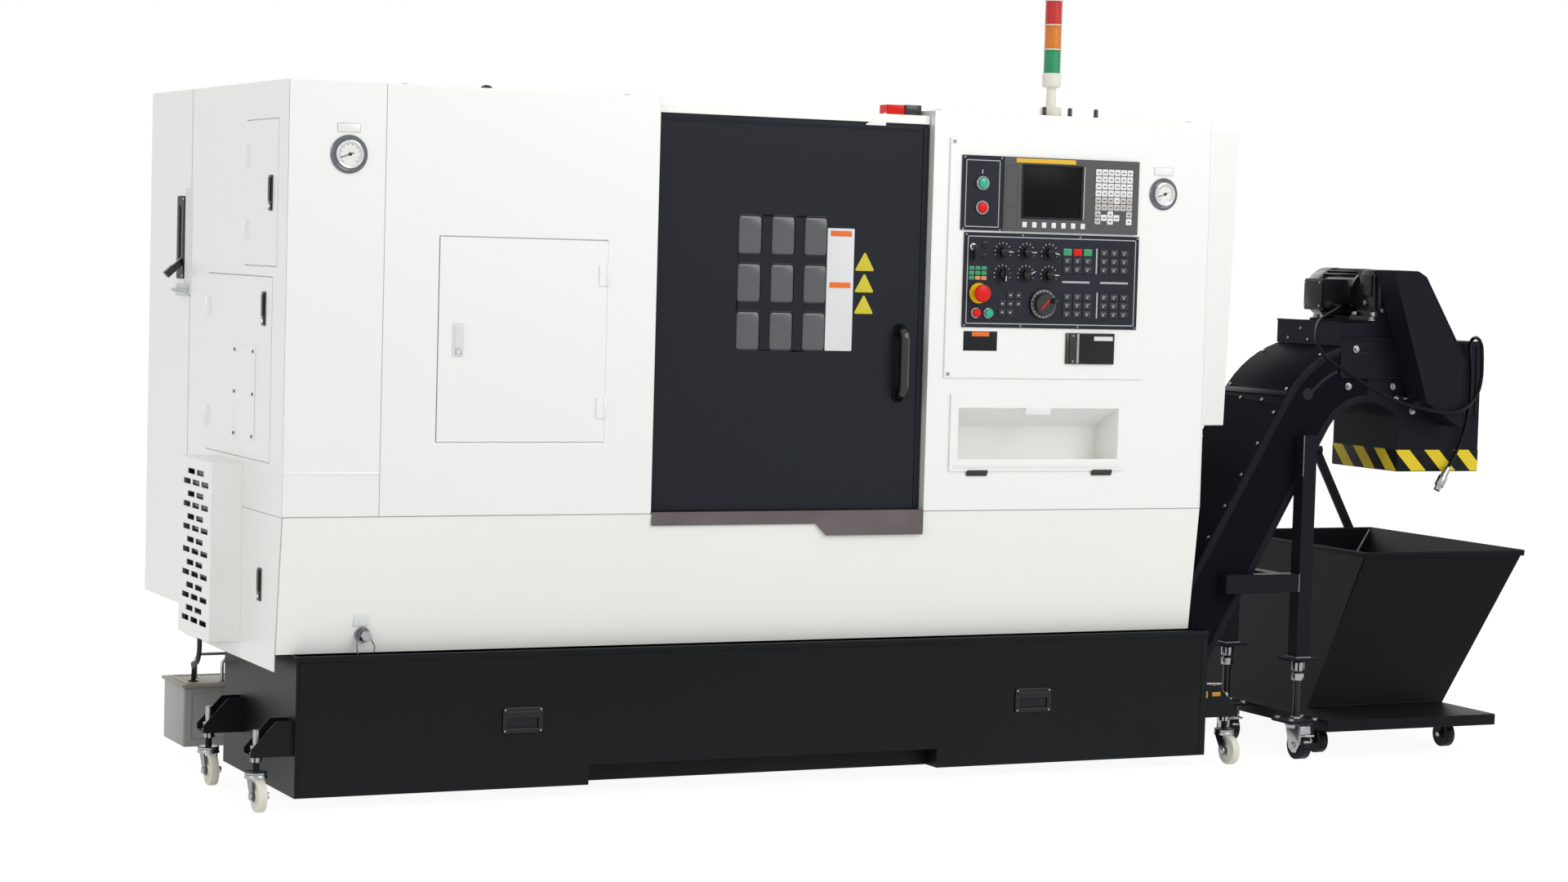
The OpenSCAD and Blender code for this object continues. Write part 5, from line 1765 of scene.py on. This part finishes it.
            stand.rod(Way.UP, (x, y, 213), 19, 17, 1.4, 1, 6)
            stand.turn(Way.UP, (x, y, 84), [(0, 20), (0, 27), (5, 30), (9, 30), (13, 26), (14.8, 20)], 32, 1)
            for dx, dy in product((-38, 38), (-33, 33)):
                stand.rod(Way.UP, (x + dx, y + dy, 105), 7, 8, 0.8, 1, 6)
            stand.turn(Way.RIGHT, (x, y - 18, 38), tread(half), 40, 3)
            for way, side in ((Way.LEFT, -17), (Way.RIGHT, 17)):
                stand.rod(way, (x + side, y - 18, 38), 6, 9, 0.9, 1, 6)
        stand.bent([(2857.8, self.near - 42.2, 880), (2857.8, self.near - 42.2, 770)], 1.6)
        stand.done()


@dataclass
class LooseItems(Assembly):
    """Chip cart and oil box, which stand loose on the floor."""

    steps = ("cart", "oil")
    cart_x: float = 2934.0
    rim_x: float = 3760.0
    rim_z: float = 537.0
    hopper: Span = (210.0, 950.0)

    def cart(self) -> None:
        """Rolled rim, ribs, weld beads and wheels of the chip cart."""
        cart = Piece("cart_trim", "machine", CART_BLACK, WELD, ZINC, RUBBER)
        start, (y0, y1) = self.cart_x, self.hopper
        left, right, z = start + 276, self.rim_x, self.rim_z
        cart.slab(TOP, (left - 5, right + 2), grown(self.hopper, 5), (z - 14, z), 4, 1.4, 0, 7)
        rim = [(left, y0), (right, y0), (right, y1), (left, y1)]
        cart.bent([(x, y, z - 1.5) for x, y in rim], 4.5, 0, True)
        cart.bent([(start + 101, y0 - 1, 111), (left, y0 - 1, z - 14)], 2.4)
        cart.bent([(start + 103, y0, 110), (start + 556, y0, 110)], 2.4)
        cart.bent([(right - 11, y1 - 7, z - 4), (right - 143, y1 - 7, 325)], 3.4, 1)
        half = [(-12.3, 6), (-12.3, 12), (-9, 14), (-9, 26), (-12.3, 29), (-11, 34), (-8, 35)]
        for x, y in product((start + 66, start + 494), (110, y1 - 100)):
            cart.turn(Way.RIGHT, (x, y, 35), tread(half), 36, 3)
            for way, side in ((Way.LEFT, -17), (Way.RIGHT, 17)):
                cart.rod(way, (x + side, y, 35), 5, 8, 0.8, 2, 6)
        cart.bent([(start + 78, y1 + 4, 778), (right - 194, y1 + 4, 778)], 13)
        cart.slab(FRONT, (start, start + 560), (78, 108), (-32, -30), 3, 0.8)
        cart.done()

    def oil(self) -> None:
        """Grey oil box with a lid and two rod handles."""
        oil = Piece("oil_case", "machine", BOX_GREY, LID, ZINC, BLACK)
        oil.box((55, 315), (1000, 1195), (0, 158), 5, 0, 3)
        oil.slab(FRONT, (72, 298), (18, 142), (998.4, 1000), 6, 0.8, 0, 5)
        oil.slab(TOP, (47, 323), (992, 1195), (157, 165), 5, 1.8, 1)
        oil.slab(TOP, (62, 308), (1006, 1182), (165, 167), 4, 0.8, 1, 9)
        for x0, x1, y in ((120, 230, 1125), (165, 275, 1030)):
            bow = ((x0, 164), (x0, 216), (x0 + 12, 228), (x1 - 12, 228), (x1, 216), (x1, 164))
            oil.bent([(x, y, z) for x, z in bow], 5, 2)
            for x in (x0, x1):
                oil.turn(Way.UP, (x, y, 165), [(0, 11), (2, 11), (3, 7), (6, 7), (6, 0)], 20, 2)
        oil.turn(Way.UP, (95, 1056, 164), [(0, 9), (0, 13), (5, 13), (6, 11), (6, 8.4), (0, 8.4)], 24, 3)
        oil.done("oil_box")


@dataclass
class WorkArea(Assembly):
    """Trim of the chuck inside the machine."""

    steps = ("chuck",)
    axis: Point2 = (400.0, 1030.0)

    def chuck(self) -> None:
        """Rim of the chuck and the screws of its jaws."""
        jaws = Piece("chuck_trim", "spindle", STEEL, ZINC)
        rim = [(0, 86), (0, 105.6), (4, 106), (86, 106), (90.4, 102), (90.6, 34)]
        jaws.turn(Way.RIGHT, (950, *self.axis), rim, 56)
        for angle in (90, 210, 330):
            jaws.screws(Way.RIGHT, ((1075, *polar(self.axis, r, angle)) for r in (46, 74)), 8, 1)
            jaws.screws(Way.RIGHT, ((1040.6, *polar(self.axis, 92, angle + more)) for more in (45, 75)), 7, 1)
        jaws.done()


def main() -> None:
    """Builds every sub-assembly in order."""
    logging.basicConfig(level=logging.INFO, format="%(name)s: %(message)s")
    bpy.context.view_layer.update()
    for kind in (
        Studio, Cords, Dressing, SlidingDoor, Display, OperatorPanel, ConsoleTrim, CoverHardware, TankTrim, Conveyor,
        LooseItems, WorkArea,
    ):
        kind().build()


if __name__ == "__main__":
    main()
